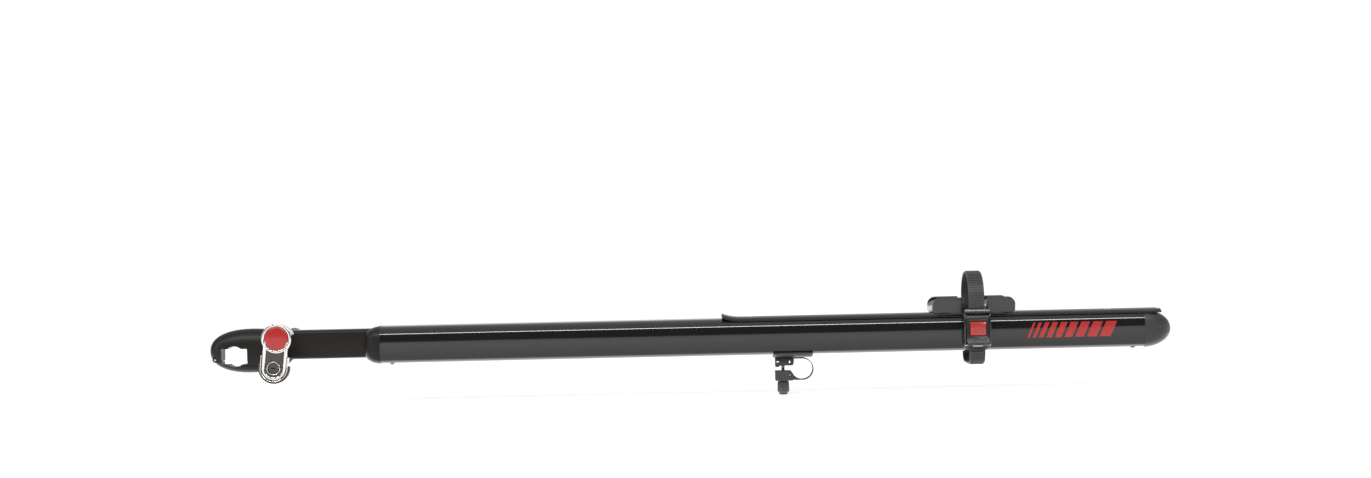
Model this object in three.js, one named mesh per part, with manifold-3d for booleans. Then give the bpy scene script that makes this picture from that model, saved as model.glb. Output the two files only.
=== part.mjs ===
// Fork-mount bicycle carrier: a long aluminium rail that clamps across two roof crossbars.
// A fork clamps to the quick-release skewer of the head, and a ratchet strap holds the
// rear wheel on a tray. Millimetres, +X towards the rear cap, +Z up, the lever side at -Y.
// The origin is the middle of the front crossbar channel.
import * as THREE from 'three';
import { mergeVertices } from 'three/addons/utils/BufferGeometryUtils.js';
import Module from 'manifold-3d';

const wasm = await Module();
wasm.setup();

// ---------- clearances ----------
const gap = 0.3;                  // between pieces that touch
const runningGap = 0.5;           // round pins and rods in their holes

// ---------- beam, an extruded tube with a T-slot in its floor ----------
const beamStart = 206;
const beamLength = 1066;
const beamWidth = 64;
const beamHeight = 54;
const beamCentreZ = 12.1;
const beamWall = 2;
const beamSquareness = 3.4;       // exponent of the section's outline
const gutterDepth = 1.4;           // hollow along the top of the beam
const gutterHalfWidth = 20;
const slotHalfWidth = 5.3;

// ---------- neck between head and beam ----------
const neckStart = 58;
const neckWidth = 28;
const neckHeight = 40.2;
const neckRise = 2.7;             // of the neck's middle over the beam's
const neckWall = 3;
const neckInsert = 52;            // length held inside the beam

// ---------- collar and end cap ----------
const collarLength = 22.5;
const collarInset = 13;
const spigotLength = 30;
const capLength = 40;

// ---------- head ----------
const headCentreX = 24;
const headCentreZ = 7.6;
const headHalfLength = 60;
const headHalfWidth = 18;
const headHalfHeight = 31;
const headSquareness = 2.3;
const barRadius = 14.3;           // round crossbar that the channel and the rear loop take
const flatBarHalfWidth = 18.5;    // flat crossbar that the channel takes
const flatBarHalfHeight = 10.9;
const jawHingeX = -28.2;
const jawHingeZ = -4.5;
const knuckleRadius = 3.8;
const knuckleHalfWidth = 5;
const jawPinRadius = 1.5;
const partingFrontZ = -6.5;
const partingRearZ = -12.8;
const jawBoltX = 46;
const jawBoltRadius = 3.7;
const jawBoltTip = 4;

// ---------- skewer ----------
const skewerX = 73;
const skewerZ = 27.3;
const hubSpacing = 100;           // between the faces that the fork ends sit on
const forkEndRoom = 7;            // room for one fork end
const hubWasherThickness = 3;
const hubWasherRadius = 9.5;
const bossRadius = 9;
const camWasherRadius = 9.5;
const cheekRadius = 13;            // round rear edge of the head beside the neck
const cheekHalfWidth = 18.5;
const cheekLength = 18;
const rodRadius = 2.8;
const camWasherThickness = 2.5;
const nutRadius = 9;
const nutLength = 14;

// ---------- lever ----------
const leverLean = 6.3;            // degrees, the closed lever leans to the nose
const camRadius = 20.5;
const camEccentric = 0.75;
const camPinRadius = 3.2;
const leverHalfWidth = 16.7;
const leverArm = 4.7;
const lockDistance = 40.6;        // from the skewer's axis down to the lock
const capDiscInset = 0.4;
const lockPlugRadius = 7.2;
const lockBezelRadius = 9.5;
const leverThickness = 9;

// ---------- keeper that the lever's end closes into ----------
const keeperPostX = 67;
const keeperPostZ = -2;
const keeperPostRadius = 8;
const keeperRoom = 1;             // between the lever and the keeper's band
const keeperBandThickness = 1.4;
const keeperCupWall = 2.1;

// ---------- wheel tray ----------
const trayLength = 612.5;
const trayOverhang = 24;          // past the beam's end
const traySheet = 1.2;
const trayLipDrop = 5.1;          // of the tray's edges below the beam's top
const trayFlare = 5;
const trayFlareLength = 26;

// ---------- wheel strap, its cradle and its buckle ----------
const strapFromTrayEnd = 259.5;
const strapWidth = 22;
const strapThickness = 3;
const strapRise = 57.9;           // over the beam's top
const strapShoulderRise = 22.9;
const strapHang = 17.1;           // under the beam's floor
const cradleShell = 3;
const cradleFront = -60.5;        // along X, from the strap's middle
const cradleRear = 55.5;
const cradleRise = 22.3;          // of the wings over the beam's top
const cradleFloorDrop = 4.1;
const waistHalfLength = 14.5;     // gap between the wings that the strap rises through
const waistDrop = 13.4;
const skirtHalfLength = 18.5;
const skirtLift = 7.9;            // of the skirts' edges over the beam's floor
const buckleHalfWidth = 18.5;
const buckleCheek = 2.2;
const buckleBase = 2.2;
const buckleHeight = 58;
const buckleRise = 6.9;           // over the beam's top
const leverPinDrop = 13;          // below the buckle's top
const leverPinRadius = 2;

// ---------- rear crossbar clamp ----------
const clampFromTrayStart = 84.5;
const clampHalfDepth = 12;
const barFromStud = 12.7;         // from the stud's middle to the crossbar's side
const bandThickness = 1.2;
const bandRoom = 0.1;             // between crossbar and band
const bandHalfDepth = 9;
const saddleThickness = 3;
const studRadius = 2.5;
const studReach = 9.3;            // of the stud below the lower block
const upperJawRise = 5.2;         // of the upper block's edge over the crossbar's middle
const lowerJawDrop = 2.3;
const lowerBlockWall = 1.8;       // below the crossbar
const knobRadius = 8.5;
const knobLength = 19;

// ---------- side decal ----------
const decalFromStrap = 70.5;
const decalLength = 130;
const decalHeight = 21;
const decalLowDrop = 9.1;         // of its lower edge below the beam's middle

// ---------- places that follow from the sizes ----------
const beamHalfWidth = beamWidth / 2;
const beamHalfHeight = beamHeight / 2;
const beamEnd = beamStart + beamLength;
const beamTopZ = beamCentreZ + beamHalfHeight;
const beamFloorZ = beamCentreZ - beamHalfHeight;
const neckCentreZ = beamCentreZ + neckRise;
const hubFace = hubSpacing / 2;
const capDiscRadius = leverHalfWidth - capDiscInset;
const keeperBandRadius = leverHalfWidth + keeperRoom + keeperBandThickness;
const trayEnd = beamEnd + trayOverhang;
const trayStart = trayEnd - trayLength;
const strapX = trayEnd - strapFromTrayEnd;
const clampX = trayStart + clampFromTrayStart;
const decalStart = strapX + decalFromStrap;
const decalEnd = decalStart + decalLength;
const decalLowZ = beamCentreZ - decalLowDrop;
const decalHighZ = decalLowZ + decalHeight;

// ---------- helpers ----------
const colour = (hex, roughness, metalness) =>
  new THREE.MeshStandardMaterial({ color: hex, roughness, metalness });

const finish = {
  gloss: colour(0x17181a, 0.12, 0.3),
  satin: colour(0x222120, 0.35, 0.2),
  plastic: colour(0x2a2a2c, 0.55, 0),
  rubber: colour(0x1c1c1d, 0.8, 0),
  chrome: colour(0xd8d8d6, 0.08, 1),
  steel: colour(0x9a9b9c, 0.3, 1),
  red: colour(0xbe2623, 0.35, 0),
};

function solid(geometry) {
  const bare = geometry.clone();
  bare.deleteAttribute('normal');
  bare.deleteAttribute('uv');
  const merged = mergeVertices(bare, 1e-4);
  const vertProperties = new Float32Array(merged.attributes.position.array);
  const triVerts = new Uint32Array(merged.index.array);
  return new wasm.Manifold(new wasm.Mesh({ numProp: 3, vertProperties, triVerts }));
}

function toGeometry(manifold) {
  const { vertProperties, triVerts } = manifold.getMesh();
  const geometry = new THREE.BufferGeometry();
  geometry.setAttribute('position', new THREE.BufferAttribute(vertProperties, 3));
  geometry.setIndex(new THREE.BufferAttribute(triVerts, 1));
  geometry.computeVertexNormals();
  return geometry;
}

function piece(parent, name, shape, material) {
  const geometry = shape.isBufferGeometry ? shape : toGeometry(shape);
  const mesh = new THREE.Mesh(geometry, material);
  mesh.name = name;
  parent.add(mesh);
  return mesh;
}

function box(x0, x1, y0, y1, z0, z1) {
  const geometry = new THREE.BoxGeometry(x1 - x0, y1 - y0, z1 - z0);
  return solid(geometry.translate((x0 + x1) / 2, (y0 + y1) / 2, (z0 + z1) / 2));
}

const rodY = (radius, y0, y1, x, z, sides = 20) =>
  solid(new THREE.CylinderGeometry(radius, radius, y1 - y0, sides)
    .translate(x, (y0 + y1) / 2, z));

const rodX = (radius, x0, x1, y, z, sides = 20) =>
  solid(new THREE.CylinderGeometry(radius, radius, x1 - x0, sides)
    .rotateZ(Math.PI / 2).translate((x0 + x1) / 2, y, z));

const rodZ = (radius, z0, z1, x, y, sides = 20) =>
  solid(new THREE.CylinderGeometry(radius, radius, z1 - z0, sides)
    .rotateX(Math.PI / 2).translate(x, y, (z0 + z1) / 2));

const shapeOf = (points) => new THREE.Shape(points.map(([a, b]) => new THREE.Vector2(a, b)));

// An outline in X and Z, pushed along Y.
function slabY(points, y0, y1) {
  const options = { depth: y1 - y0, bevelEnabled: false };
  const geometry = new THREE.ExtrudeGeometry(shapeOf(points), options);
  return solid(geometry.rotateX(Math.PI / 2).translate(0, y1, 0));
}

// An outline in Y and Z, pushed along X.
function slabX(points, x0, x1) {
  const options = { depth: x1 - x0, bevelEnabled: false };
  const geometry = new THREE.ExtrudeGeometry(shapeOf(points), options);
  const turn = new THREE.Matrix4().makeBasis(
    new THREE.Vector3(0, 1, 0), new THREE.Vector3(0, 0, 1), new THREE.Vector3(1, 0, 0));
  return solid(geometry.applyMatrix4(turn).translate(x0, 0, 0));
}

// Arc of points round (cx, cz), angles in degrees, anticlockwise from +X.
function arc(cx, cz, radius, from, to, steps = 16) {
  return Array.from({ length: steps + 1 }, (_, i) => {
    const angle = THREE.MathUtils.degToRad(from + (to - from) * i / steps);
    return [cx + radius * Math.cos(angle), cz + radius * Math.sin(angle)];
  });
}

// A flat ribbon that follows a path of points, as a closed outline.
function ribbon(path, thickness) {
  const side = (sign) => path.map(([a, b], i) => {
    const [a0, b0] = path[Math.max(i - 1, 0)];
    const [a1, b1] = path[Math.min(i + 1, path.length - 1)];
    const length = Math.hypot(a1 - a0, b1 - b0);
    const reach = sign * thickness / 2 / length;
    return [a - (b1 - b0) * reach, b + (a1 - a0) * reach];
  });
  return [...side(1), ...side(-1).reverse()];
}

// The beam's section, grown or shrunk by an offset, from one angle to another.
function beamOutline(offset, from = 0, to = 360, steps = 48) {
  const power = 2 / beamSquareness;
  const grow = (value, size) => Math.sign(value) * Math.abs(value) ** power * (size + offset);
  const count = to - from === 360 ? steps : steps + 1;
  return Array.from({ length: count }, (_, i) => {
    const angle = THREE.MathUtils.degToRad(from + (to - from) * i / steps);
    const y = grow(Math.cos(angle), beamHalfWidth);
    const z = grow(Math.sin(angle), beamHalfHeight);
    const dip = z > 0 ? Math.max(0, 1 - (y / gutterHalfWidth) ** 2) ** 2 : 0;
    return [y, beamCentreZ + z - gutterDepth * dip];
  });
}

const beamSolid = (offset, x0, x1) => slabX(beamOutline(offset), x0, x1);

// A skin through sections of the same number of points, closed at both ends.
function loft(sections) {
  const count = sections[0].points.length;
  const positions = sections.flatMap(({ x, points }) => points.flatMap(([y, z]) => [x, y, z]));
  const triangles = [];
  for (let s = 0; s + 1 < sections.length; s += 1) {
    for (let i = 0; i < count; i += 1) {
      const a = s * count + i;
      const b = s * count + (i + 1) % count;
      triangles.push(a, b, a + count, b, b + count, a + count);
    }
  }
  const outline = sections[0].points.map(([y, z]) => new THREE.Vector2(y, z));
  const last = (sections.length - 1) * count;
  for (const [a, b, c] of THREE.ShapeUtils.triangulateShape(outline, [])) {
    triangles.push(a, c, b, last + a, last + b, last + c);
  }
  const geometry = new THREE.BufferGeometry();
  geometry.setAttribute('position', new THREE.Float32BufferAttribute(positions, 3));
  geometry.setIndex(triangles);
  return solid(geometry);
}

// A dome on the beam's section: full size at x = full, drawn in towards x = tip.
function dome(full, tip, inset, steps) {
  const sections = Array.from({ length: steps + 1 }, (_, i) => {
    const reach = Math.sin(Math.PI / 2 * 0.985 * i / steps);
    const offset = -inset * (1 - Math.sqrt(1 - reach ** 2));
    return { x: full + (tip - full) * reach, points: beamOutline(offset) };
  });
  return loft(tip < full ? sections.reverse() : sections);
}

const group = new THREE.Group();

// ---------- beam ----------
const rail = new THREE.Group();
group.add(rail);
const trayRivetXs = [trayStart + trayFlareLength + 12, trayEnd - 70];
const trayTopZ = beamTopZ + gap + traySheet - gutterDepth;
const rivetHole = (x) => rodZ(2.2 + runningGap / 2, beamCentreZ, trayTopZ + 5, x, 0, 12);
const undersideScrewY = beamHalfWidth - 17;
const collarScrewX = beamStart + spigotLength / 2;
const capScrewX = beamEnd - spigotLength / 2;
const undersideScrews = [
  ['collar_screw_near', collarScrewX, -undersideScrewY],
  ['collar_screw_far', collarScrewX, undersideScrewY],
  ['cap_screw_near', capScrewX, -undersideScrewY],
  ['cap_screw_far', capScrewX, undersideScrewY],
];
const screwHole = (x, y) => rodZ(2 + runningGap / 2, beamFloorZ - 5, beamFloorZ + 9, x, y, 12);

let beamTube = beamSolid(0, beamStart + gap, beamEnd - gap)
  .subtract(beamSolid(-beamWall, beamStart - 1, beamEnd + 1))
  .subtract(box(beamStart - 1, beamEnd + 1, -slotHalfWidth, slotHalfWidth,
    beamFloorZ - 2, beamFloorZ + beamWall + 2));
for (const x of trayRivetXs) {
  beamTube = beamTube.subtract(rivetHole(x));
}
for (const [, x, y] of undersideScrews) {
  beamTube = beamTube.subtract(screwHole(x, y));
}
piece(rail, 'beam_tube', beamTube, finish.gloss);

// ---------- neck ----------
const neckEnd = beamStart + neckInsert;
const neckBox = (grow, x0, x1) => box(x0, x1, -neckWidth / 2 - grow, neckWidth / 2 + grow,
  neckCentreZ - neckHeight / 2 - grow, neckCentreZ + neckHeight / 2 + grow);
const skewerBore = rodY(rodRadius + runningGap, -hubFace - 20, hubFace + 20, skewerX, skewerZ);
const crossPinX = skewerX + 5;
const crossPinZ = 4;
const crossPinRadius = 2.5;
const crossPinHole = rodY(crossPinRadius + gap, -40, 40, crossPinX, crossPinZ, 16);
const neckTube = neckBox(0, neckStart, neckEnd)
  .subtract(neckBox(-neckWall, neckStart - 1, neckEnd + 1))
  .subtract(skewerBore)
  .subtract(crossPinHole);
piece(rail, 'neck_tube', neckTube, finish.satin);

// ---------- collar and end cap ----------
const spigotOffset = -beamWall - gap;
let frontCollar = dome(beamStart, beamStart - collarLength, collarInset, 6)
  .add(beamSolid(spigotOffset, beamStart - 0.5, beamStart + spigotLength))
  .subtract(neckBox(gap, 0, neckEnd + 10));
let rearCap = dome(beamEnd, beamEnd + capLength, beamHalfHeight, 9)
  .add(beamSolid(spigotOffset, beamEnd - spigotLength, beamEnd + 0.5));
for (const [name, x, y] of undersideScrews) {
  frontCollar = frontCollar.subtract(screwHole(x, y));
  rearCap = rearCap.subtract(screwHole(x, y));
  const screwLow = beamFloorZ - gap - 0.6;
  const screw = rodZ(3.6, screwLow - 1.6, screwLow, x, y, 16)
    .add(rodZ(2, screwLow - 0.5, beamFloorZ + 8.5, x, y, 12));
  piece(rail, name, screw, finish.steel);
}
piece(rail, 'front_collar', frontCollar, finish.satin);
piece(rail, 'rear_end_cap', rearCap, finish.plastic);

// ---------- wheel tray ----------
const lipShare = 1 - trayLipDrop / beamHalfHeight;
const lipAngle = THREE.MathUtils.radToDeg(Math.asin(lipShare ** (beamSquareness / 2)));
const trayStations = [0, 0.25, 0.5, 0.75, 1].map((t) => trayStart + trayFlareLength * t);
const traySections = [...trayStations, trayEnd].map((x) => {
  const flare = Math.max(0, 1 - (x - trayStart) / trayFlareLength);
  const lift = trayFlare * flare ** 2;
  const outer = beamOutline(gap + traySheet, lipAngle, 180 - lipAngle, 24);
  const inner = beamOutline(gap, lipAngle, 180 - lipAngle, 24).reverse();
  return { x, points: [...outer, ...inner].map(([y, z]) => [y, z + lift]) };
});
let wheelTray = loft(traySections);
trayRivetXs.forEach((x, i) => {
  wheelTray = wheelTray.subtract(rivetHole(x));
  const rivet = rodZ(4, trayTopZ + 0.5, trayTopZ + 1.7, x, 0, 16)
    .add(rodZ(2.2, beamCentreZ + 12, trayTopZ + 1, x, 0, 12));
  piece(rail, `tray_rivet_${i + 1}`, rivet, finish.steel);
});
piece(rail, 'wheel_tray', wheelTray, finish.satin);

// ---------- side decal, a thin label on the lever side ----------
const decalSkin = beamSolid(0.28, decalStart, decalEnd)
  .subtract(beamSolid(0.1, decalStart - 1, decalEnd + 1))
  .intersect(box(decalStart, decalEnd, -beamHalfWidth - 5, -5, decalLowZ, decalHighZ));
piece(rail, 'side_decal', decalSkin, finish.red);

// ---------- head ----------
const head = new THREE.Group();
group.add(head);

// An egg with its own squareness along the rail and across it.
function eggSolid() {
  const egg = new THREE.SphereGeometry(1, 36, 20);
  const position = egg.attributes.position;
  const across = 2.6;
  for (let i = 0; i < position.count; i += 1) {
    const point = new THREE.Vector3().fromBufferAttribute(position, i);
    const inPlane = (Math.abs(point.x) ** headSquareness + Math.abs(point.z) ** headSquareness)
      ** (1 / headSquareness);
    const reach = (inPlane ** across + Math.abs(point.y) ** across) ** (1 / across);
    point.multiplyScalar(1 / reach);
    position.setXYZ(i, point.x * headHalfLength, point.y * headHalfWidth,
      point.z * headHalfHeight);
  }
  return solid(egg.translate(headCentreX, 0, headCentreZ));
}

const deep = hubFace + 40;
const channel = rodY(barRadius + gap, -deep, deep, 0, 0, 32)
  .add(box(-flatBarHalfWidth, flatBarHalfWidth, -deep, deep,
    -flatBarHalfHeight, flatBarHalfHeight));

// Everything below the parting line, raised by a rise.
function belowParting(rise) {
  const far = 400;
  return slabY([
    [-far, -far], [far, -far], [far, partingRearZ + rise], [0, partingRearZ + rise],
    [0, partingFrontZ + rise], [jawHingeX, partingFrontZ + rise],
    [jawHingeX, jawHingeZ], [-far, jawHingeZ]], -deep, deep);
}
const hingeRod = (radius, y0, y1) => rodY(radius, y0, y1, jawHingeX, jawHingeZ, 28);
const outerKnuckle = (radius, inner, outer) =>
  hingeRod(radius, inner, outer).add(hingeRod(radius, -outer, -inner));

const jawPinHalfLength = 9.4;
const jawBoltHole = (radius, z0, z1) => rodZ(radius, z0, z1, jawBoltX, 0, 28);
const bossEnd = hubFace - hubWasherThickness - gap;
const camBearingY = -hubFace - forkEndRoom - camWasherThickness;
const camPinY = camBearingY - gap - camRadius;
const leverFrontY = camPinY - camPinRadius - 3.8;
const leverBackY = leverFrontY + leverThickness;
const keeperFlangeFront = leverBackY + 0.4;
const keeperFlangeBack = keeperFlangeFront + 4;
const keeperScrewRadius = 2.4;

// The two cheeks lie flat against the neck's sides and carry the skewer's bosses.
const cheekX = skewerX - 5;
const cheekZ = neckCentreZ + neckHeight / 2 - 0.9 - cheekRadius;
const cheeks = slabY([
  [cheekX - cheekLength, cheekZ - cheekRadius],
  ...arc(cheekX, cheekZ, cheekRadius, -90, 90, 14),
  [cheekX - cheekLength, cheekZ + cheekRadius]], -cheekHalfWidth, cheekHalfWidth);
const headBody = eggSolid()
  .add(cheeks)
  .add(rodY(bossRadius, -bossEnd, bossEnd, skewerX, skewerZ, 28))
  .add(rodY(keeperPostRadius, keeperFlangeBack + gap, 0, keeperPostX, keeperPostZ))
  .subtract(belowParting(gap / 2))
  .add(hingeRod(knuckleRadius, -knuckleHalfWidth, knuckleHalfWidth))
  .subtract(outerKnuckle(knuckleRadius + gap, knuckleHalfWidth, 16))
  .subtract(hingeRod(jawPinRadius + gap, -20, 12))
  .subtract(channel)
  .subtract(neckBox(gap, neckStart - gap, neckStart + 80))
  .subtract(jawBoltHole(jawBoltRadius + 1.3, -40, jawBoltTip + 2))
  .subtract(skewerBore)
  .subtract(crossPinHole)
  .subtract(rodY(keeperScrewRadius + gap, keeperFlangeBack, keeperFlangeBack + 22,
    keeperPostX, keeperPostZ, 16));
piece(head, 'head_body', headBody, finish.satin);

const lowerJaw = eggSolid()
  .intersect(belowParting(-gap / 2))
  .subtract(box(-200, jawHingeX, -50, 50, -60, 60))
  .add(outerKnuckle(knuckleRadius, knuckleHalfWidth + gap, jawPinHalfLength))
  .subtract(hingeRod(knuckleRadius + gap, -knuckleHalfWidth - gap, knuckleHalfWidth + gap))
  .subtract(hingeRod(jawPinRadius + gap, -20, 12))
  .subtract(channel)
  .subtract(jawBoltHole(jawBoltRadius + runningGap, -40, 0))
  .subtract(jawBoltHole(6.8, -40, -19));
piece(head, 'lower_jaw', lowerJaw, finish.satin);
piece(head, 'jaw_hinge_pin', hingeRod(jawPinRadius, -jawPinHalfLength, jawPinHalfLength),
  finish.steel);

const jawBolt = jawBoltHole(jawBoltRadius, -20, jawBoltTip)
  .add(jawBoltHole(6.2, -23.4, -19.3))
  .subtract(solid(new THREE.CylinderGeometry(3.2, 3.2, 6, 6)
    .rotateX(Math.PI / 2).translate(jawBoltX, 0, -24)));
piece(head, 'jaw_bolt', jawBolt, finish.steel);
piece(head, 'head_cross_pin',
  rodY(crossPinRadius, -headHalfWidth + 6, headHalfWidth - 6, crossPinX, crossPinZ, 16),
  finish.steel);

// ---------- skewer ----------
const ringY = (outer, inner, y0, y1, x, z) =>
  rodY(outer, y0, y1, x, z, 28).subtract(rodY(inner, y0 - 1, y1 + 1, x, z));
const rodHole = rodRadius + runningGap;
const rodFarEnd = hubFace + forkEndRoom + nutLength + 2;
piece(head, 'skewer_rod',
  rodY(rodRadius, camPinY + camPinRadius + gap, rodFarEnd, skewerX, skewerZ), finish.steel);
piece(head, 'hub_washer_near', ringY(hubWasherRadius, rodHole,
  -hubFace, -hubFace + hubWasherThickness, skewerX, skewerZ), finish.steel);
piece(head, 'hub_washer_far', ringY(hubWasherRadius, rodHole,
  hubFace - hubWasherThickness, hubFace, skewerX, skewerZ), finish.steel);
piece(head, 'cam_washer', ringY(camWasherRadius, rodHole,
  camBearingY, camBearingY + camWasherThickness, skewerX, skewerZ), finish.plastic);

// The far-side nut has finger scallops round its rim.
let adjustingNut = rodY(nutRadius, hubFace + forkEndRoom, hubFace + forkEndRoom + nutLength, 0, 0)
  .subtract(rodY(rodHole, 0, deep, 0, 0));
for (const [x, z] of arc(0, 0, nutRadius + 1.6, 0, 315, 7)) {
  adjustingNut = adjustingNut.subtract(
    rodY(2.6, hubFace + forkEndRoom + 4, deep, x, z, 12));
}
const nutGroup = new THREE.Group();
nutGroup.position.set(skewerX, 0, skewerZ);
head.add(nutGroup);
piece(nutGroup, 'adjusting_nut', adjustingNut, finish.chrome);

// ---------- cam lever, built round the skewer's axis and leaned as one ----------
const lever = new THREE.Group();
lever.position.set(skewerX, 0, skewerZ);
lever.rotation.y = THREE.MathUtils.degToRad(leverLean);
head.add(lever);

// A U in X and Z: two straight sides down to a half circle round the lock.
const uOutline = (half, topZ) =>
  [[half, topZ], [-half, topZ], ...arc(0, -lockDistance, half, 180, 360, 16)];
const cam = rodY(camRadius, leverFrontY, camBearingY - gap, 0, 0, 40)
  .intersect(rodX(camRadius - camEccentric, -camRadius - 1, camRadius + 1,
    camPinY + camEccentric, 0, 48));
const rodSlot = box(-rodHole, rodHole, camPinY - rodHole, 0, -rodHole, camRadius + 5);
const armInner = leverHalfWidth - leverArm;
const leverFrame = slabY(uOutline(leverHalfWidth, 0), leverFrontY, leverBackY)
  .subtract(slabY(uOutline(armInner, 10), leverFrontY - 1, leverBackY + 1))
  .add(cam)
  .subtract(rodX(camPinRadius + gap, -camRadius - 5, camRadius + 5, camPinY, 0))
  .subtract(rodSlot)
  .subtract(rodY(capDiscRadius + gap, leverFrontY - 5, leverFrontY + 2, 0, 0, 36));
piece(lever, 'lever_frame', leverFrame, finish.chrome);
const camPinHalf = leverHalfWidth + gap;
piece(lever, 'cam_pin', rodX(camPinRadius, -camPinHalf, camPinHalf, camPinY, 0), finish.steel);

const capDome = new THREE.LatheGeometry([
  new THREE.Vector2(0, 0), new THREE.Vector2(capDiscRadius, 0),
  new THREE.Vector2(capDiscRadius, 1.4), new THREE.Vector2(capDiscRadius * 0.8, 2.3),
  new THREE.Vector2(0, 2.9)], 36);
capDome.rotateX(Math.PI).translate(0, leverFrontY + 2 - gap, 0);
piece(lever, 'lever_cap_disc', solid(capDome), finish.red);

const insertGap = armInner - gap;
const leverInsert = slabY(uOutline(insertGap, -10), leverFrontY + 0.8, leverBackY - 0.8)
  .subtract(rodY(camRadius + gap, -deep, 0, 0, 0, 40))
  .subtract(rodY(lockBezelRadius + gap, -deep, 0, 0, -lockDistance, 28));
piece(lever, 'lever_insert', leverInsert, finish.plastic);
piece(lever, 'lock_bezel', ringY(lockBezelRadius, lockPlugRadius + gap,
  leverFrontY - 1, leverBackY - 1, 0, -lockDistance), finish.chrome);
const keyway = box(-3, 3, leverFrontY - 5, leverFrontY + 2.5, -lockDistance - 0.7,
  -lockDistance + 0.7);
piece(lever, 'lock_plug', rodY(lockPlugRadius, leverFrontY - 0.4, leverBackY - 1,
  0, -lockDistance, 28).subtract(keyway), finish.plastic);

// ---------- keeper ----------
const keeper = new THREE.Group();
keeper.position.copy(lever.position);
keeper.rotation.copy(lever.rotation);
head.add(keeper);
const lean = THREE.MathUtils.degToRad(leverLean);
const postDX = keeperPostX - skewerX;
const postDZ = keeperPostZ - skewerZ;
const postX = postDX * Math.cos(lean) - postDZ * Math.sin(lean);
const postZ = postDX * Math.sin(lean) + postDZ * Math.cos(lean);
const cupRadius = keeperBandRadius + gap + keeperCupWall;
const keeperLipY = leverFrontY + 2;
const keeperCup = slabY(uOutline(cupRadius, -lockDistance + 4), keeperLipY, keeperFlangeBack)
  .subtract(slabY(uOutline(keeperBandRadius + gap, 0), keeperLipY - 1, keeperFlangeFront))
  .add(box(-13, 13, keeperFlangeFront, keeperFlangeBack, -lockDistance, postZ + 9))
  .subtract(rodY(keeperScrewRadius + gap, -deep, 0, postX, postZ, 16))
  .subtract(rodY(4.8, -deep, keeperFlangeFront + 2.2, postX, postZ, 16));
piece(keeper, 'keeper_cup', keeperCup, finish.plastic);
const bandInner = keeperBandRadius - keeperBandThickness;
const keeperBand = slabY(uOutline(keeperBandRadius, -lockDistance + 16),
  keeperLipY - 1.5, keeperFlangeFront - gap)
  .subtract(slabY(uOutline(bandInner, 0), keeperLipY - 5, 0));
piece(keeper, 'keeper_band', keeperBand, finish.chrome);
const keeperScrew = rodY(keeperScrewRadius, keeperFlangeFront + 1, keeperFlangeBack + 20,
  postX, postZ, 16).add(rodY(4.4, keeperFlangeFront + 0.3, keeperFlangeFront + 1.9,
  postX, postZ, 16));
piece(keeper, 'keeper_screw', keeperScrew, finish.steel);

// ---------- strap station, built round the strap's middle ----------
const station = new THREE.Group();
station.position.x = strapX;
group.add(station);

// Everything on the near side stacks outwards from the beam: skirt, buckle base, strap.
const cradleInside = gap + traySheet + gap;
const skirtOuter = beamHalfWidth + cradleInside + cradleShell;
const baseInnerY = -skirtOuter - gap;
const baseOuterY = baseInnerY - buckleBase;
const strapNearY = baseOuterY - gap - strapThickness / 2;
const strapFarY = skirtOuter + gap + strapThickness / 2;

const cradleShellSolid = (x0, x1, lowZ) => beamSolid(cradleInside + cradleShell, x0, x1)
  .subtract(beamSolid(cradleInside, x0 - 1, x1 + 1))
  .intersect(box(x0, x1, -90, 90, lowZ, 120));
const cradleTopZ = beamTopZ + cradleRise;
const cradleFloorZ = beamTopZ - cradleFloorDrop;
const waistTopZ = cradleTopZ - waistDrop;
const butterfly = slabY([
  [-skirtHalfLength, cradleFloorZ - 6], [skirtHalfLength, cradleFloorZ - 6],
  [skirtHalfLength + 6, cradleFloorZ + 1], [cradleRear - 22, cradleFloorZ + 5],
  [cradleRear - 2, cradleFloorZ + 6.5],
  ...arc(cradleRear - 9, cradleTopZ - 11, 9, 0, 90, 6),
  [cradleRear - 24, cradleTopZ], [waistHalfLength + 4, cradleTopZ - 0.6],
  [waistHalfLength, cradleTopZ - 4], [waistHalfLength, waistTopZ],
  [-waistHalfLength, waistTopZ], [-waistHalfLength, cradleTopZ - 4],
  [-waistHalfLength - 4, cradleTopZ - 0.6], [cradleFront + 24, cradleTopZ],
  ...arc(cradleFront + 11, cradleTopZ - 12, 11, 90, 180, 6),
  [cradleFront, cradleFloorZ + 7], [cradleFront + 22, cradleFloorZ + 5],
  [-skirtHalfLength - 6, cradleFloorZ + 1]], -60, 60);
const wingFootY = beamHalfWidth - 11;
const wingTipY = beamHalfWidth - 1;
const wingCutZ = beamTopZ + 40.9;
const wing = (side) => slabX([
  [side * wingFootY, beamTopZ + 0.9], [side * (wingFootY + 4.5), beamTopZ - 0.6],
  [side * (wingTipY + cradleShell), wingCutZ], [side * wingTipY, wingCutZ]],
cradleFront - 5, cradleRear + 5);
const buckleHighZ = beamTopZ + buckleRise;
const buckleLowZ = buckleHighZ - buckleHeight;
const buckleRivetZ = buckleLowZ + 16;
const anchorZ = buckleRivetZ + 4;
const strapCradle = cradleShellSolid(cradleFront - 5, cradleRear + 5, cradleFloorZ - 5)
  .add(wing(1)).add(wing(-1)).intersect(butterfly)
  .add(cradleShellSolid(-skirtHalfLength, skirtHalfLength, beamFloorZ + skirtLift)
    .intersect(box(-skirtHalfLength, skirtHalfLength, -90, 90, -90, waistTopZ)))
  .subtract(beamSolid(cradleInside, cradleFront - 10, cradleRear + 10))
  .subtract(rodY(2.3, 20, 60, 0, anchorZ, 16))
  .subtract(rodY(2.3, -60, -20, 0, buckleRivetZ, 16));
piece(station, 'strap_cradle', strapCradle, finish.plastic);

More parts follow.
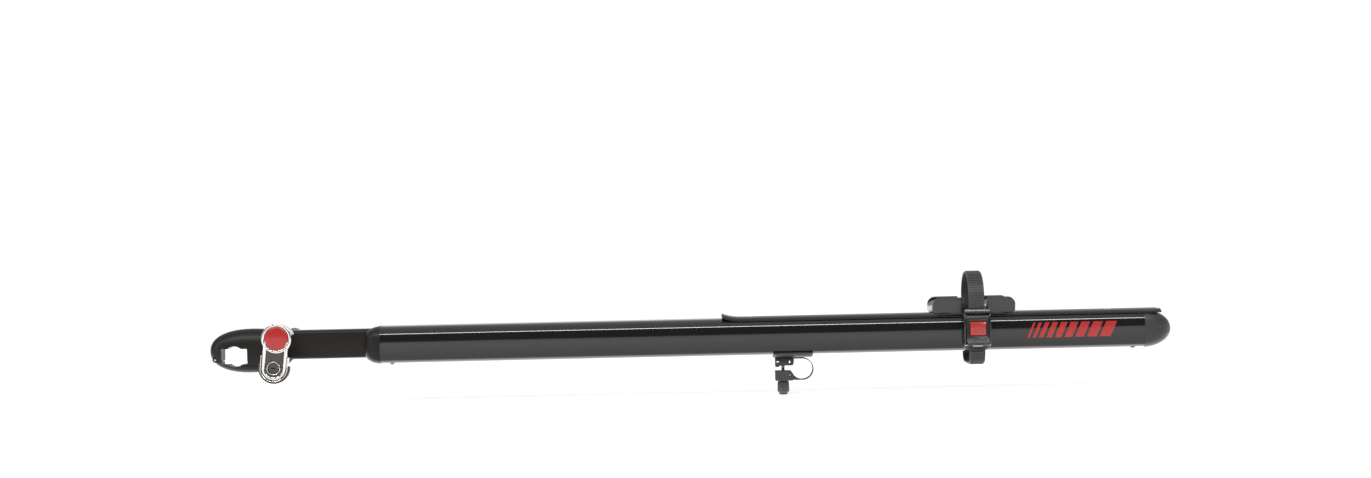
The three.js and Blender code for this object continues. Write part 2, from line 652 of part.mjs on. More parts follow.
// The strap: pinned on the far side, over the wheel, through the buckle and under the beam.
const strapShoulderZ = beamTopZ + strapShoulderRise;
const archHeight = beamTopZ + strapRise - strapThickness / 2 - strapShoulderZ;
const archMiddleY = (strapFarY + strapNearY) / 2;
const archHalf = (strapFarY - strapNearY) / 2;
const tailRound = 17;
const tailLowZ = beamFloorZ - strapHang + strapThickness / 2;
const strapPath = [
  [strapFarY, anchorZ - 8], [strapFarY, beamTopZ - 9],
  ...arc(0, 0, 1, 0, 180, 20).map(([c, s]) =>
    [archMiddleY + archHalf * c, strapShoulderZ + archHeight * s]),
  [strapNearY, beamTopZ - 9], [strapNearY, anchorZ - 8],
  ...arc(strapNearY + tailRound, tailLowZ + tailRound, tailRound, 180, 270, 8),
  ...arc(strapFarY - tailRound - 2, tailLowZ + tailRound, tailRound, 270, 356, 8),
];
const wheelStrap = slabX(ribbon(strapPath, strapThickness), -strapWidth / 2, strapWidth / 2)
  .subtract(rodY(2.3, 20, 60, 0, anchorZ, 16));
piece(station, 'wheel_strap', wheelStrap, finish.rubber);
const anchorRivet = rodY(2, skirtOuter - 3.5, strapFarY + 2.2, 0, anchorZ, 16)
  .add(rodY(5, strapFarY + strapThickness / 2 + gap, strapFarY + strapThickness / 2 + 1.8,
    0, anchorZ, 28));
piece(station, 'strap_rivet', anchorRivet, finish.steel);

// ---------- ratchet buckle ----------
const cheekOutline = [
  [baseInnerY, buckleLowZ + 5], [baseOuterY - 6, buckleLowZ + 4],
  [baseOuterY - 11, buckleLowZ + 14], [baseOuterY - 11, buckleHighZ - 8],
  [baseOuterY - 7, buckleHighZ], [baseInnerY, buckleHighZ]];
const leverPinZ = buckleHighZ - leverPinDrop;
const leverPinY = baseOuterY - gap - strapThickness - gap - 4.2;
const pawlPinY = leverPinY + 2;
const pawlPinZ = buckleLowZ + 7.5;
const pawlPinRadius = 1.2;
const cheek = (x0, x1) => slabX(cheekOutline, x0, x1);
const crossHole = (radius, y, z) => rodX(radius, -30, 30, y, z, 16);
const buckleFrame = box(-buckleHalfWidth, buckleHalfWidth, baseOuterY, baseInnerY,
  buckleLowZ, buckleHighZ)
  .add(cheek(-buckleHalfWidth, -buckleHalfWidth + buckleCheek))
  .add(cheek(buckleHalfWidth - buckleCheek, buckleHalfWidth))
  .add(box(-buckleHalfWidth, buckleHalfWidth, baseOuterY - 9.5, baseOuterY - 6.8,
    leverPinZ + 7, buckleHighZ))
  .subtract(crossHole(leverPinRadius + gap, leverPinY, leverPinZ))
  .subtract(crossHole(pawlPinRadius + gap, pawlPinY, pawlPinZ))
  .subtract(rodY(2.3, -60, -20, 0, buckleRivetZ, 16))
  .subtract(rodY(4.4, baseOuterY - 1, baseOuterY + 1.4, 0, buckleRivetZ, 16));
piece(station, 'buckle_frame', buckleFrame, finish.plastic);
piece(station, 'buckle_rivet', rodY(2, baseOuterY + 0.6, -skirtOuter + cradleShell, 0,
  buckleRivetZ, 16).add(rodY(4, baseOuterY + 0.2, baseOuterY + 1.1, 0, buckleRivetZ, 16)),
finish.steel);
const pinHalf = buckleHalfWidth - 0.4;
piece(station, 'ratchet_pin',
  rodX(leverPinRadius, -pinHalf, pinHalf, leverPinY, leverPinZ, 16), finish.steel);
piece(station, 'pawl_pin',
  rodX(pawlPinRadius, -pinHalf, pinHalf, pawlPinY, pawlPinZ, 12), finish.steel);

// Ratchet lever: a frame hinged at its top, with a thumb lip at its lower end.
const levHalf = buckleHalfWidth - buckleCheek - 0.4;
const windowHalf = 11.1;
const windowLowZ = leverPinZ - 24.6;
const windowHighZ = leverPinZ - 4.4;
const ratchetOutline = [
  ...arc(leverPinY, leverPinZ, 4, 0, 180, 12),
  [leverPinY - 5.5, leverPinZ - 6], [leverPinY - 6, leverPinZ - 24],
  [leverPinY - 9.5, leverPinZ - 36], [leverPinY - 7.5, leverPinZ - 38.5],
  [leverPinY - 1.6, leverPinZ - 28], [leverPinY + 3.8, leverPinZ - 23.5],
  [leverPinY + 4, leverPinZ - 4]];
const ratchetLever = slabX(ratchetOutline, -levHalf, levHalf)
  .subtract(box(-windowHalf, windowHalf, -90, 0, windowLowZ, windowHighZ))
  .subtract(crossHole(leverPinRadius + gap, leverPinY, leverPinZ))
  .subtract(crossHole(1.5, leverPinY - 2, windowHighZ - 2.6)
    .intersect(box(-13.6, 13.6, -90, 0, -50, 90)));
piece(station, 'ratchet_lever', ratchetLever, finish.plastic);

const buttonPinY = leverPinY - 2;
const buttonPinZ = windowHighZ - 2.6;
const buttonOutline = [
  [buttonPinY + 1.9, buttonPinZ + 1.6], [buttonPinY - 4, buttonPinZ + 1.8],
  [buttonPinY - 5.6, buttonPinZ - 7], [buttonPinY - 5, windowLowZ + 0.6],
  [buttonPinY - 1.6, windowLowZ + 0.4], [buttonPinY + 1.4, buttonPinZ - 2.4]];
piece(station, 'release_button', slabX(buttonOutline, -windowHalf + gap, windowHalf - gap)
  .subtract(crossHole(1.5, buttonPinY, buttonPinZ)), finish.red);
piece(station, 'button_pin', rodX(1.2, -13.2, 13.2, buttonPinY, buttonPinZ, 12), finish.steel);

const strapFaceY = strapNearY - strapThickness / 2;
const pawlOutline = [
  [strapFaceY - gap, pawlPinZ + 7.9], [strapFaceY - 1.9, pawlPinZ + 8.1],
  [pawlPinY - 2.3, pawlPinZ],
  [pawlPinY - 1, pawlPinZ - 2.2], [pawlPinY + 1.2, pawlPinZ - 1.6],
  [strapFaceY - 1, pawlPinZ + 2]];
piece(station, 'holding_pawl', slabX(pawlOutline, -7, 7)
  .subtract(crossHole(pawlPinRadius + gap, pawlPinY, pawlPinZ)), finish.steel);

// ---------- rear crossbar clamp, built round its stud ----------
const clamp = new THREE.Group();
clamp.position.x = clampX;
group.add(clamp);
const studHole = (radius) => rodZ(radius, -80, 20, 0, 0, 16);
const blockTopZ = beamFloorZ - gap - saddleThickness - gap;
const loopX = barFromStud + barRadius;
const loopZ = blockTopZ - 0.5 - bandThickness - bandRoom - barRadius;
const loopBore = rodY(barRadius + bandRoom + gap, -60, 60, loopX, loopZ, 32);
const upperBlockLowZ = loopZ + upperJawRise;
const lowerBlockTopZ = loopZ - lowerJawDrop;
const lowerBlockLowZ = loopZ - barRadius - lowerBlockWall;
const slideTopZ = beamFloorZ + beamWall + 6.2;
const saddleStart = -14;
const saddleEnd = loopX + barRadius - gap;
piece(clamp, 'slide_nut', box(-16, 16, -11, 11, beamFloorZ + beamWall + 0.7, slideTopZ)
  .add(box(-16, 16, -slotHalfWidth + 0.5, slotHalfWidth - 0.5, beamFloorZ + 0.1, slideTopZ))
  .subtract(studHole(studRadius + gap)), finish.steel);
piece(clamp, 'clamp_stud', rodZ(studRadius, lowerBlockLowZ - studReach, slideTopZ + 1, 0, 0, 28)
  .add(rodZ(5, slideTopZ + gap, slideTopZ + 3.5, 0, 0, 6)), finish.steel);
const saddleHighZ = beamFloorZ + 3.9;
piece(clamp, 'saddle_plate', beamSolid(gap + saddleThickness, saddleStart, saddleEnd)
  .subtract(beamSolid(gap, saddleStart - 1, saddleEnd + 1))
  .intersect(box(saddleStart, saddleEnd, -60, 60, -60, saddleHighZ))
  .subtract(studHole(studRadius + gap)), finish.plastic);
const upperBlock = slabY([
  [-11, blockTopZ], [-11, upperBlockLowZ - 2.1], [-7.5, upperBlockLowZ - 2.1],
  [-4, upperBlockLowZ], [15, upperBlockLowZ], [15, blockTopZ]], -clampHalfDepth, clampHalfDepth)
  .subtract(slabY([[7.4, upperBlockLowZ + 3.2], [11.2, upperBlockLowZ + 3.2],
    [9.4, upperBlockLowZ + 8]], -60, 60))
  .subtract(studHole(studRadius + gap)).subtract(loopBore);
piece(clamp, 'upper_clamp_block', upperBlock, finish.plastic);
const lowerBlock = slabY([
  [-11.4, lowerBlockTopZ], [-11.4, lowerBlockLowZ], [13.6, lowerBlockLowZ],
  [13.6, lowerBlockTopZ - 4], [11, lowerBlockTopZ]], -clampHalfDepth, clampHalfDepth)
  .subtract(rodY(1.3, -60, 60, 9.6, lowerBlockTopZ - 6.8, 16))
  .subtract(studHole(studRadius + 0.4)).subtract(loopBore);
piece(clamp, 'lower_clamp_block', lowerBlock, finish.plastic);
const bandRadius = barRadius + bandRoom + bandThickness / 2;
const bandPath = [
  [15 + gap, loopZ + bandRadius],
  ...arc(loopX, loopZ, bandRadius, 90, -90, 16),
  [16.5, loopZ - bandRadius]];
piece(clamp, 'clamp_band', slabY(ribbon(bandPath, bandThickness), -bandHalfDepth, bandHalfDepth),
  finish.steel);

// The knob is ribbed round its side and tapers at its lower end.
const knobTopZ = lowerBlockLowZ - gap;
const knobProfile = [
  [0, 0], [knobRadius - 1, 0], [knobRadius, 1.2], [knobRadius, knobLength - 5],
  [knobRadius - 1.6, knobLength - 1], [knobRadius - 2.6, knobLength], [0, knobLength]];
const knobBody = new THREE.LatheGeometry(
  knobProfile.map(([r, h]) => new THREE.Vector2(r, h)), 24);
let clampKnob = solid(knobBody.rotateX(-Math.PI / 2).translate(0, 0, knobTopZ));
clampKnob = clampKnob.subtract(
  rodZ(studRadius + 0.4, knobTopZ - knobLength + 1.5, knobTopZ + 1, 0, 0, 16));
for (const [x, y] of arc(0, 0, knobRadius + 0.5, 0, 330, 11)) {
  clampKnob = clampKnob.subtract(rodZ(1.2, knobTopZ - knobLength - 1, knobTopZ - 2.5, x, y, 12));
}
piece(clamp, 'clamp_knob', clampKnob, finish.plastic);

export default group;
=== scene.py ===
import math

import bmesh
import bpy
from mathutils import Matrix, Vector


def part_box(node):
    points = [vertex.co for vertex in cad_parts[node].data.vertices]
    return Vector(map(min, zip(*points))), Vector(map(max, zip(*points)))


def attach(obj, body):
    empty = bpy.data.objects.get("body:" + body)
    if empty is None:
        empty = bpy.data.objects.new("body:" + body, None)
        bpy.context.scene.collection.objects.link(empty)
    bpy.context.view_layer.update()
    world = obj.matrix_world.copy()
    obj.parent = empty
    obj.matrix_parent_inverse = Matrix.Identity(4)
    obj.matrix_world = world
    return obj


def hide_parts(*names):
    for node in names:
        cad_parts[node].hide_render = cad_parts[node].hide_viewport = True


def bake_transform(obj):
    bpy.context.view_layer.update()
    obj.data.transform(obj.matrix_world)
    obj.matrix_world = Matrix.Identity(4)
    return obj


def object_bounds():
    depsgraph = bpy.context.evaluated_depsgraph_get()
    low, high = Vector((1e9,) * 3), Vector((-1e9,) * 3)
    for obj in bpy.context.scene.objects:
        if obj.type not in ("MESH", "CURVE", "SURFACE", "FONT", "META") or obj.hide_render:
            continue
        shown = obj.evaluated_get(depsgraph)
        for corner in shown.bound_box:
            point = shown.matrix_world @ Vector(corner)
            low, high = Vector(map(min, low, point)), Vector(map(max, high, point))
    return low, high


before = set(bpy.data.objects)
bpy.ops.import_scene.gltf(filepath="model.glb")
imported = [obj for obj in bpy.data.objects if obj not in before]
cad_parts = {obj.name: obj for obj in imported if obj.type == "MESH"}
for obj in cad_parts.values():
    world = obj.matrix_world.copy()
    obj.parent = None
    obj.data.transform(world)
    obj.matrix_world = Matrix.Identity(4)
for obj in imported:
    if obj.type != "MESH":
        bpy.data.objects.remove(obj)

cad_low, cad_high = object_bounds()

# ---------------------------------------------------------------- studio
# A pale floor under the knob, a long strip light on the lever side, lights at the nose, the
# rear and the floor, and a white surround. The level camera is rolled by about a degree.
distance = 3.0
view_width = 1.928                   # metres across the frame at the rail
scene = bpy.context.scene
camera_data = bpy.data.cameras.new("camera")
camera = bpy.data.objects.new("camera", camera_data)
scene.collection.objects.link(camera)
scene.camera = camera
camera_data.sensor_width = 36
camera_data.lens = 36 * distance / view_width
roll = Matrix.Rotation(math.radians(-1.27), 4, "Z")
middle = (cad_low + cad_high) / 2
camera.matrix_world = (Matrix.Translation((middle.x - 0.003, -distance, 0.151))
                       @ Matrix.Rotation(math.radians(90), 4, "X") @ roll)
camera_data.clip_start, camera_data.clip_end = 0.05, 200
scene.view_settings.view_transform = "Standard"


class Wire:
    """A socket in a node tree. Sums and products of wires and numbers add Math nodes."""

    def __init__(self, tree, socket):
        self.tree, self.socket = tree, socket

    def node(self, kind, plugs=(), output=0, **settings):
        """A new node: its settings are set first, then the value or wire of each socket."""
        made = self.tree.nodes.new(kind)
        for name, value in settings.items():
            setattr(made, name, value)
        for key, value in dict(plugs).items():
            if isinstance(value, Wire):
                self.tree.links.new(value.socket, made.inputs[key])
            else:
                made.inputs[key].default_value = value
        return Wire(self.tree, made.outputs[output])

    def math(self, operation, first, second=0.0):
        return self.node("ShaderNodeMath", {0: first, 1: second}, operation=operation)

    def __add__(self, other):
        return self.math("ADD", self, other)

    def __sub__(self, other):
        return self.math("SUBTRACT", self, other)

    def __rsub__(self, other):
        return self.math("SUBTRACT", other, self)

    def __mul__(self, other):
        return self.math("MULTIPLY", self, other)

    __radd__ = __add__
    __rmul__ = __mul__

    def held(self, low, high):
        """Clamped to 0 at low and 1 at high."""
        return self.node("ShaderNodeMapRange", {0: self, 1: low, 2: high, 3: 0.0, 4: 1.0})

    def mixed(self, first, second):
        """A colour between two, by this factor."""
        return self.node("ShaderNodeMix", {0: self, 6: first, 7: second}, output=2,
                         data_type="RGBA")


world = bpy.data.worlds.new("studio")
scene.world = world
world.use_nodes = True
surround = Wire(world.node_tree, world.node_tree.nodes["Background"].inputs[0])
gaze = surround.node("ShaderNodeTexCoord", output="Generated")
across = gaze.node("ShaderNodeSeparateXYZ", {0: gaze}, output=1)
upward = gaze.node("ShaderNodeSeparateXYZ", {0: gaze}, output=2)
ceiling = upward.held(0.48, 0.72)
behind_rail = across.held(-0.1, 0.35)
glow = ceiling + behind_rail - ceiling * behind_rail
seen = gaze.node("ShaderNodeLightPath", output="Is Camera Ray")
studio = glow.mixed((0.045, 0.045, 0.045, 1), (0.95, 0.95, 0.96, 1))
world.node_tree.links.new(seen.mixed(studio, (1.05, 1.05, 1.05, 1)).socket, surround.socket)


def soft_light(name, size, place, aim, radiance):
    """A rectangular soft box that faces a point, with its own brightness per area."""
    data = bpy.data.lights.new(name, "AREA")
    data.shape = "RECTANGLE"
    data.size, data.size_y = size
    data.energy = radiance * math.pi * size[0] * size[1]
    lamp = bpy.data.objects.new(name, data)
    scene.collection.objects.link(lamp)
    facing = (Vector(aim) - Vector(place)).to_track_quat("-Z", "Y")
    lamp.matrix_world = Matrix.Translation(place) @ facing.to_matrix().to_4x4()


soft_light("strip_light", (6.0, 0.2), (middle.x, -2.7, 1.95), middle, 30)
soft_light("nose_light", (0.8, 1.6), (-2.6, -1.6, 0.9), middle, 4)
soft_light("rear_light", (1.2, 1.2), (2.8, 2.2, 2.0), middle, 2)

reach, depth_behind = 7.0, 1.2       # the floor ends close behind the rail
floor_z = cad_low.z - 0.0004
floor_mesh = bpy.data.meshes.new("floor")
floor_mesh.from_pydata([(x, y, floor_z) for x, y in (
    (-reach, -reach), (reach, -reach), (reach, depth_behind), (-reach, depth_behind))],
    [], [(0, 1, 2, 3)])
floor = bpy.data.objects.new("floor", floor_mesh)
scene.collection.objects.link(floor)
soft_light("floor_glow", (2.2, 0.3), (middle.x, 0.13, floor_z + 0.002),
           (middle.x, 0.13, 1.0), 2)
bpy.data.objects["floor_glow"].visible_camera = False


def finish(name, roughness, metallic=0.0, coat=0.0):
    """A new material: its shader with the even values set, and object coordinates."""
    made = bpy.data.materials.new(name)
    made.use_nodes = True
    shader = made.node_tree.nodes["Principled BSDF"]
    shader.inputs["Roughness"].default_value = roughness
    shader.inputs["Metallic"].default_value = metallic
    shader.inputs["Coat Weight"].default_value = coat
    shader.inputs["Coat Roughness"].default_value = 0.04
    place = Wire(made.node_tree, shader.outputs[0]).node("ShaderNodeTexCoord", output="Object")
    return made, shader, place


def plug(shader, **wires):
    for name, wire in wires.items():
        target = shader.inputs[name.replace("_", " ")]
        wire.tree.links.new(wire.socket, target)


def noise(place, scale, detail=2.0, stretch=(1, 1, 1)):
    spread = place.node("ShaderNodeMapping", {"Vector": place, "Scale": stretch})
    return place.node("ShaderNodeTexNoise", {"Vector": spread, "Scale": scale, "Detail": detail})


def bump(height, depth, strength=1.0):
    return height.node("ShaderNodeBump",
                       {"Height": height, "Distance": depth, "Strength": strength})


def edges(place, sharp=0.08):
    """1 on worn outside edges and 0 elsewhere, broken up by a fine noise."""
    point = place.node("ShaderNodeNewGeometry", output="Pointiness")
    return point.held(0.53, 0.53 + sharp) * noise(place, 420, 4).held(0.35, 0.7)


pale, pale_shader, pale_place = finish("pale_floor", 0.7)
plug(pale_shader, Base_Color=noise(pale_place, 3).mixed((0.86, 0.86, 0.86, 1), (0.9, 0.9, 0.9, 1)))
pale_shader.inputs["Emission Color"].default_value = (1, 1, 1, 1)
pale_shader.inputs["Emission Strength"].default_value = 0.3
floor_mesh.materials.append(pale)


# ---------------------------------------------------------------- beam
# The main rail: an extruded aluminium tube with soft corners, a shallow gutter along its
# top and an open slot in its floor for the clamp's nut. Painted gloss black.
def tidy(mesh, angle=32):
    """Merges doubles, turns the faces outwards and smooths all but the sharp edges."""
    work = bmesh.new()
    work.from_mesh(mesh)
    bmesh.ops.remove_doubles(work, verts=work.verts, dist=1e-6)
    bmesh.ops.dissolve_degenerate(work, edges=work.edges, dist=1e-7)
    bmesh.ops.recalc_face_normals(work, faces=work.faces)
    work.to_mesh(mesh)
    work.free()
    mesh.polygons.foreach_set("use_smooth", [True] * len(mesh.polygons))
    mesh.set_sharp_from_angle(angle=math.radians(angle))


def thing(name, points, faces):
    mesh = bpy.data.meshes.new(name)
    mesh.from_pydata(points, [], faces)
    tidy(mesh)
    made = bpy.data.objects.new(name, mesh)
    scene.collection.objects.link(made)
    return made


def loft(name, rings, ends=True):
    """A skin through rings of equally many points, closed at both ends or joined round."""
    count = len(rings[0])
    points = [point for ring in rings for point in ring]
    faces = []
    for low in range(len(rings) - (1 if ends else 0)):
        high = (low + 1) % len(rings)
        for i in range(count):
            j = (i + 1) % count
            faces.append((low * count + i, low * count + j, high * count + j, high * count + i))
    if ends:
        last = (len(rings) - 1) * count
        faces.append(tuple(reversed(range(count))))
        faces.append(tuple(range(last, last + count)))
    return thing(name, points, faces)


def settle(piece):
    """Turns a piece's modifiers into its plain mesh."""
    graph = bpy.context.evaluated_depsgraph_get()
    mesh = bpy.data.meshes.new_from_object(piece.evaluated_get(graph))
    piece.modifiers.clear()
    piece.data = mesh
    return piece


def bevelled(piece, width, segments=3, angle=38):
    """Rounds the sharp edges of a piece."""
    rounding = piece.modifiers.new("rounding", "BEVEL")
    rounding.width, rounding.segments = width, segments
    rounding.limit_method, rounding.angle_limit = "ANGLE", math.radians(angle)
    settle(piece)
    tidy(piece.data)
    return piece


def fit(piece, body, slot, material, *nodes):
    """Finishes a piece: its material, the body it moves with and the CAD nodes it stands for."""
    piece.data.materials.clear()
    piece.data.materials.append(material)
    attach(piece, body)
    if nodes:
        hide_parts(*nodes)
    return piece


beam_low, beam_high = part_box("beam_tube")
half_width, half_height = (beam_high.y - beam_low.y) / 2, 0.027
beam_middle_z = beam_low.z + half_height
beam_top_z = beam_middle_z + half_height
beam_wall, gutter_depth, gutter_half, squareness = 0.002, 0.0014, 0.020, 3.4
gap = 0.0003                         # free room between pieces that fit each other


def outline(offset, start=0.0, stop=360.0, steps=144):
    """Points (y, z) on the beam's section grown by an offset, anticlockwise from +Y."""
    points = []
    for i in range(steps + (0 if stop - start == 360 else 1)):
        angle = math.radians(start + (stop - start) * i / steps)
        c, s = math.cos(angle), math.sin(angle)
        y = math.copysign(abs(c) ** (2 / squareness), c) * (half_width + offset)
        z = math.copysign(abs(s) ** (2 / squareness), s) * (half_height + offset)
        dip = max(0.0, 1 - (y / gutter_half) ** 2) ** 2 if z > 0 else 0.0
        points.append((y, beam_middle_z + z - gutter_depth * dip))
    return points


slot_half = 0.0053
slot_angle = math.degrees(math.acos((slot_half / half_width) ** (squareness / 2)))
beam_ring = (outline(0, -slot_angle, 180 + slot_angle, 220)
             + outline(-beam_wall, -slot_angle, 180 + slot_angle, 160)[::-1])
stations = [beam_low.x + (beam_high.x - beam_low.x) * i / 24 for i in range(25)]
beam = loft("beam", [[(x, y, z) for y, z in beam_ring] for x in stations])

gloss, gloss_shader, place = finish("gloss_black_paint", 0.08)
cloud = noise(place, 9, 3)
scratch = noise(place, 260, 3, (0.02, 1, 1)).held(0.62, 0.74)
plug(gloss_shader,
     Base_Color=cloud.mixed((0.0075, 0.0072, 0.0068, 1), (0.0105, 0.010, 0.0096, 1)),
     Roughness=0.04 + cloud * 0.04 + scratch * 0.10,
     Normal=bump(noise(place, 330, 2) + scratch * 0.15, 0.00004, 0.12))
fit(beam, "rail", "gloss", gloss, "beam_tube")

# ---------------------------------------------------------------- neck
# A smaller box tube that runs from the head into the beam. Painted satin black.
neck_low, neck_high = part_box("neck_tube")
neck_corner = 0.0045


def rounded(half_a, half_b, corner, steps=6):
    """A rectangle with round corners about the origin, anticlockwise."""
    points = []
    for sign_a, sign_b, start in ((1, 1, 0), (-1, 1, 90), (-1, -1, 180), (1, -1, 270)):
        for i in range(steps + 1):
            angle = math.radians(start + 90 * i / steps)
            points.append((sign_a * (half_a - corner) + corner * math.cos(angle),
                           sign_b * (half_b - corner) + corner * math.sin(angle)))
    return points


neck_half_y, neck_half_z = neck_high.y, (neck_high.z - neck_low.z) / 2
neck_ring = [(y, z + (neck_high.z + neck_low.z) / 2)
             for y, z in rounded(neck_half_y, neck_half_z, neck_corner)]
neck = loft("neck", [[(x, y, z) for y, z in neck_ring]
                     for x in (neck_low.x + 0.0004, 0.12, 0.16, neck_high.x)])

satin, satin_shader, place = finish("satin_black_paint", 0.36)
satin_shader.inputs["Specular IOR Level"].default_value = 0.22
cloud = noise(place, 14, 3)
plug(satin_shader,
     Base_Color=edges(place, 0.14).mixed(
         cloud.mixed((0.0065, 0.0058, 0.0046, 1), (0.0100, 0.0090, 0.0075, 1)),
         (0.040, 0.038, 0.035, 1)),
     Roughness=0.30 + cloud * 0.12,
     Normal=bump(noise(place, 1500, 3), 0.00003, 0.5))
fit(neck, "rail", "satin", satin, "neck_tube")


# ---------------------------------------------------------------- collar and rear cap
# Two moulded ends drawn in from the beam's own section: the collar that holds the neck, and
# the longer cap that closes the beam. Each is plugged in and held by two screws.
def dome(name, full_x, tip_x, inset, flat=0.985, steps=30):
    """The beam's section at full_x, drawn in by an inset on a quarter ellipse to tip_x."""
    rings = [[(full_x, y, z) for y, z in outline(-0.0012)]]
    for i in range(steps + 1):
        across_tip = math.sin(math.pi / 2 * flat * i / steps)
        offset = -inset * (1 - math.sqrt(1 - across_tip ** 2))
        seam = 0.0004 * (1 - min(1.0, i / 2))
        x = full_x + (tip_x - full_x) * across_tip
        rings.append([(x, y, z) for y, z in outline(offset - seam)])
    return loft(name, rings)


collar_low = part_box("front_collar")[0]
collar = dome("collar", beam_low.x, collar_low.x, 0.013)
fit(collar, "rail", "satin", satin, "front_collar")

cap_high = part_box("rear_end_cap")[1]
rear_cap = dome("rear_cap", beam_high.x, cap_high.x, half_height - 0.0004, flat=0.998)

plastic, plastic_shader, place = finish("moulded_black_plastic", 0.5)
cloud = noise(place, 30, 3)
spark = noise(place, 2600, 2)
plug(plastic_shader,
     Base_Color=edges(place).mixed(
         cloud.mixed((0.015, 0.015, 0.016, 1), (0.022, 0.022, 0.024, 1)),
         (0.060, 0.060, 0.063, 1)),
     Roughness=0.40 + spark * 0.14 + cloud * 0.08,
     Normal=bump(spark, 0.00006, 0.55))
fit(rear_cap, "rail", "plastic", plastic, "rear_end_cap")


# ---------------------------------------------------------------- screws and tray rivets
# Four button-head screws under the beam hold the collar and the cap. Two dome rivets hold
# the wheel tray down from above. Zinc plated steel.
def turned(name, profile, axis="Z", centre=(0, 0, 0), steps=64, ripple=None):
    """A solid turned from (radius, height) points. A ripple shrinks the radius by angle."""
    rings = []
    for radius, height in profile:
        ring = []
        for i in range(steps):
            angle = 2 * math.pi * i / steps
            r = radius * (ripple(angle, height) if ripple else 1)
            a, b = r * math.cos(angle), r * math.sin(angle)
            point = {"X": (height, a, b), "Y": (b, height, a), "Z": (a, b, height)}[axis]
            ring.append(Vector(point) + Vector(centre))
        rings.append(ring)
    closed = profile[0][0] == 0 and profile[-1][0] == 0
    return loft(name, rings, ends=closed)


def opened(name, **kinds):
    """A new Geometry Nodes tree: the tree, its inputs by name and its first wire."""
    tree = bpy.data.node_groups.new(name, "GeometryNodeTree")
    face = tree.interface
    for label, kind in {"Geometry": "Geometry", **kinds, "Finish": "Material"}.items():
        face.new_socket(label, in_out="INPUT", socket_type="NodeSocket" + kind)
    face.new_socket("Geometry", in_out="OUTPUT", socket_type="NodeSocketGeometry")
    entry = tree.nodes.new("NodeGroupInput")
    given = {s.name: Wire(tree, s) for s in entry.outputs if s.name}
    return tree, given, given["Geometry"]


def line_recipe():
    """A Geometry Nodes tree: copies of a shape, a step apart, in a straight row."""
    tree, given, start = opened("row_of_copies", Shape="Object", Count="Int", Start="Vector",
                                Step="Vector")
    points = start.node("GeometryNodeMeshLine", {
        "Count": given["Count"], "Start Location": given["Start"], "Offset": given["Step"]})
    return tree, given, points


def close_recipe(tree, given, points, turn=None):
    """Puts the shape on the points, makes it real, moves it if asked and finishes it."""
    shape = points.node("GeometryNodeObjectInfo", {"Object": given["Shape"]}, output="Geometry")
    plugs = {"Points": points, "Instance": shape}
    if turn:
        plugs["Rotation"] = turn
    copies = points.node("GeometryNodeInstanceOnPoints", plugs)
    real = points.node("GeometryNodeRealizeInstances", {0: copies})
    if "Lean" in given:
        real = points.node("GeometryNodeTransform", {
            "Geometry": real, "Translation": given["Centre"],
            "Rotation": points.node("FunctionNodeEulerToRotation", {0: given["Lean"]})})
    done = points.node("GeometryNodeSetMaterial", {"Geometry": real, "Material": given["Finish"]})
    leave = tree.nodes.new("NodeGroupOutput")
    tree.links.new(done.socket, leave.inputs[0])
    return tree


def grown(name, tree, material, path=None, **values):
    """A piece made by a Geometry Nodes tree, along a path if one is given, as a plain mesh."""
    piece = path or thing(name, [(0, 0, 0)], [])
    grower = piece.modifiers.new("grower", "NODES")
    grower.node_group = tree
    values["Finish"] = material
    for item in tree.interface.items_tree:
        if item.in_out == "INPUT" and item.name in values:
            grower[item.identifier] = values[item.name]
    settle(piece)
    bpy.data.objects.remove(values["Shape"])
    return piece


def joined(name, pieces):
    """Several pieces as one mesh."""
    work = bmesh.new()
    for each in pieces:
        work.from_mesh(each.data)
        bpy.data.objects.remove(each)
    mesh = bpy.data.meshes.new(name)
    work.to_mesh(mesh)
    work.free()
    made = bpy.data.objects.new(name, mesh)
    scene.collection.objects.link(made)
    tidy(mesh)
    return made


row = close_recipe(*line_recipe())

steel, steel_shader, place = finish("zinc_plated_steel", 0.3, metallic=1.0)
cloud = noise(place, 120, 4)
plug(steel_shader,
     Base_Color=cloud.mixed((0.42, 0.42, 0.42, 1), (0.62, 0.62, 0.60, 1)),
     Roughness=0.22 + cloud * 0.2,
     Normal=bump(noise(place, 1800, 3), 0.00003, 0.4))


def button_head(name, radius, height, socket):
    """A low domed head with a round socket recess, facing -Z, its seat at 0."""
    dome_points = [(radius * math.cos(a), -height * math.sin(a))
                   for a in [math.pi / 2 * i / 8 for i in range(6)]]
    profile = ([(0, 0.0006), (radius, 0.0006)] + dome_points
               + [(socket, -height * 0.96), (socket * 0.96, -height * 0.3), (0, -height * 0.25)])
    return turned(name, profile, steps=36)


screw_rows = []
for low_name, far_name in (("collar_screw_near", "collar_screw_far"),
                           ("cap_screw_near", "cap_screw_far")):
    near_low, near_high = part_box(low_name)
    far_low, far_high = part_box(far_name)
    near_middle, far_middle = (near_low + near_high) / 2, (far_low + far_high) / 2
    head = button_head("screw_head", near_high.x - near_middle.x, 0.0019, 0.0016)
    screw_rows.append(grown(
        "screw_pair", row, steel, Shape=head, Count=2,
        Start=(near_middle.x, near_middle.y, beam_low.z - 0.0006),
        Step=(0, far_middle.y - near_middle.y, 0)))
screws = joined("underside_screws", screw_rows)
fit(screws, "rail", "steel", steel,
    "collar_screw_near", "collar_screw_far", "cap_screw_near", "cap_screw_far")

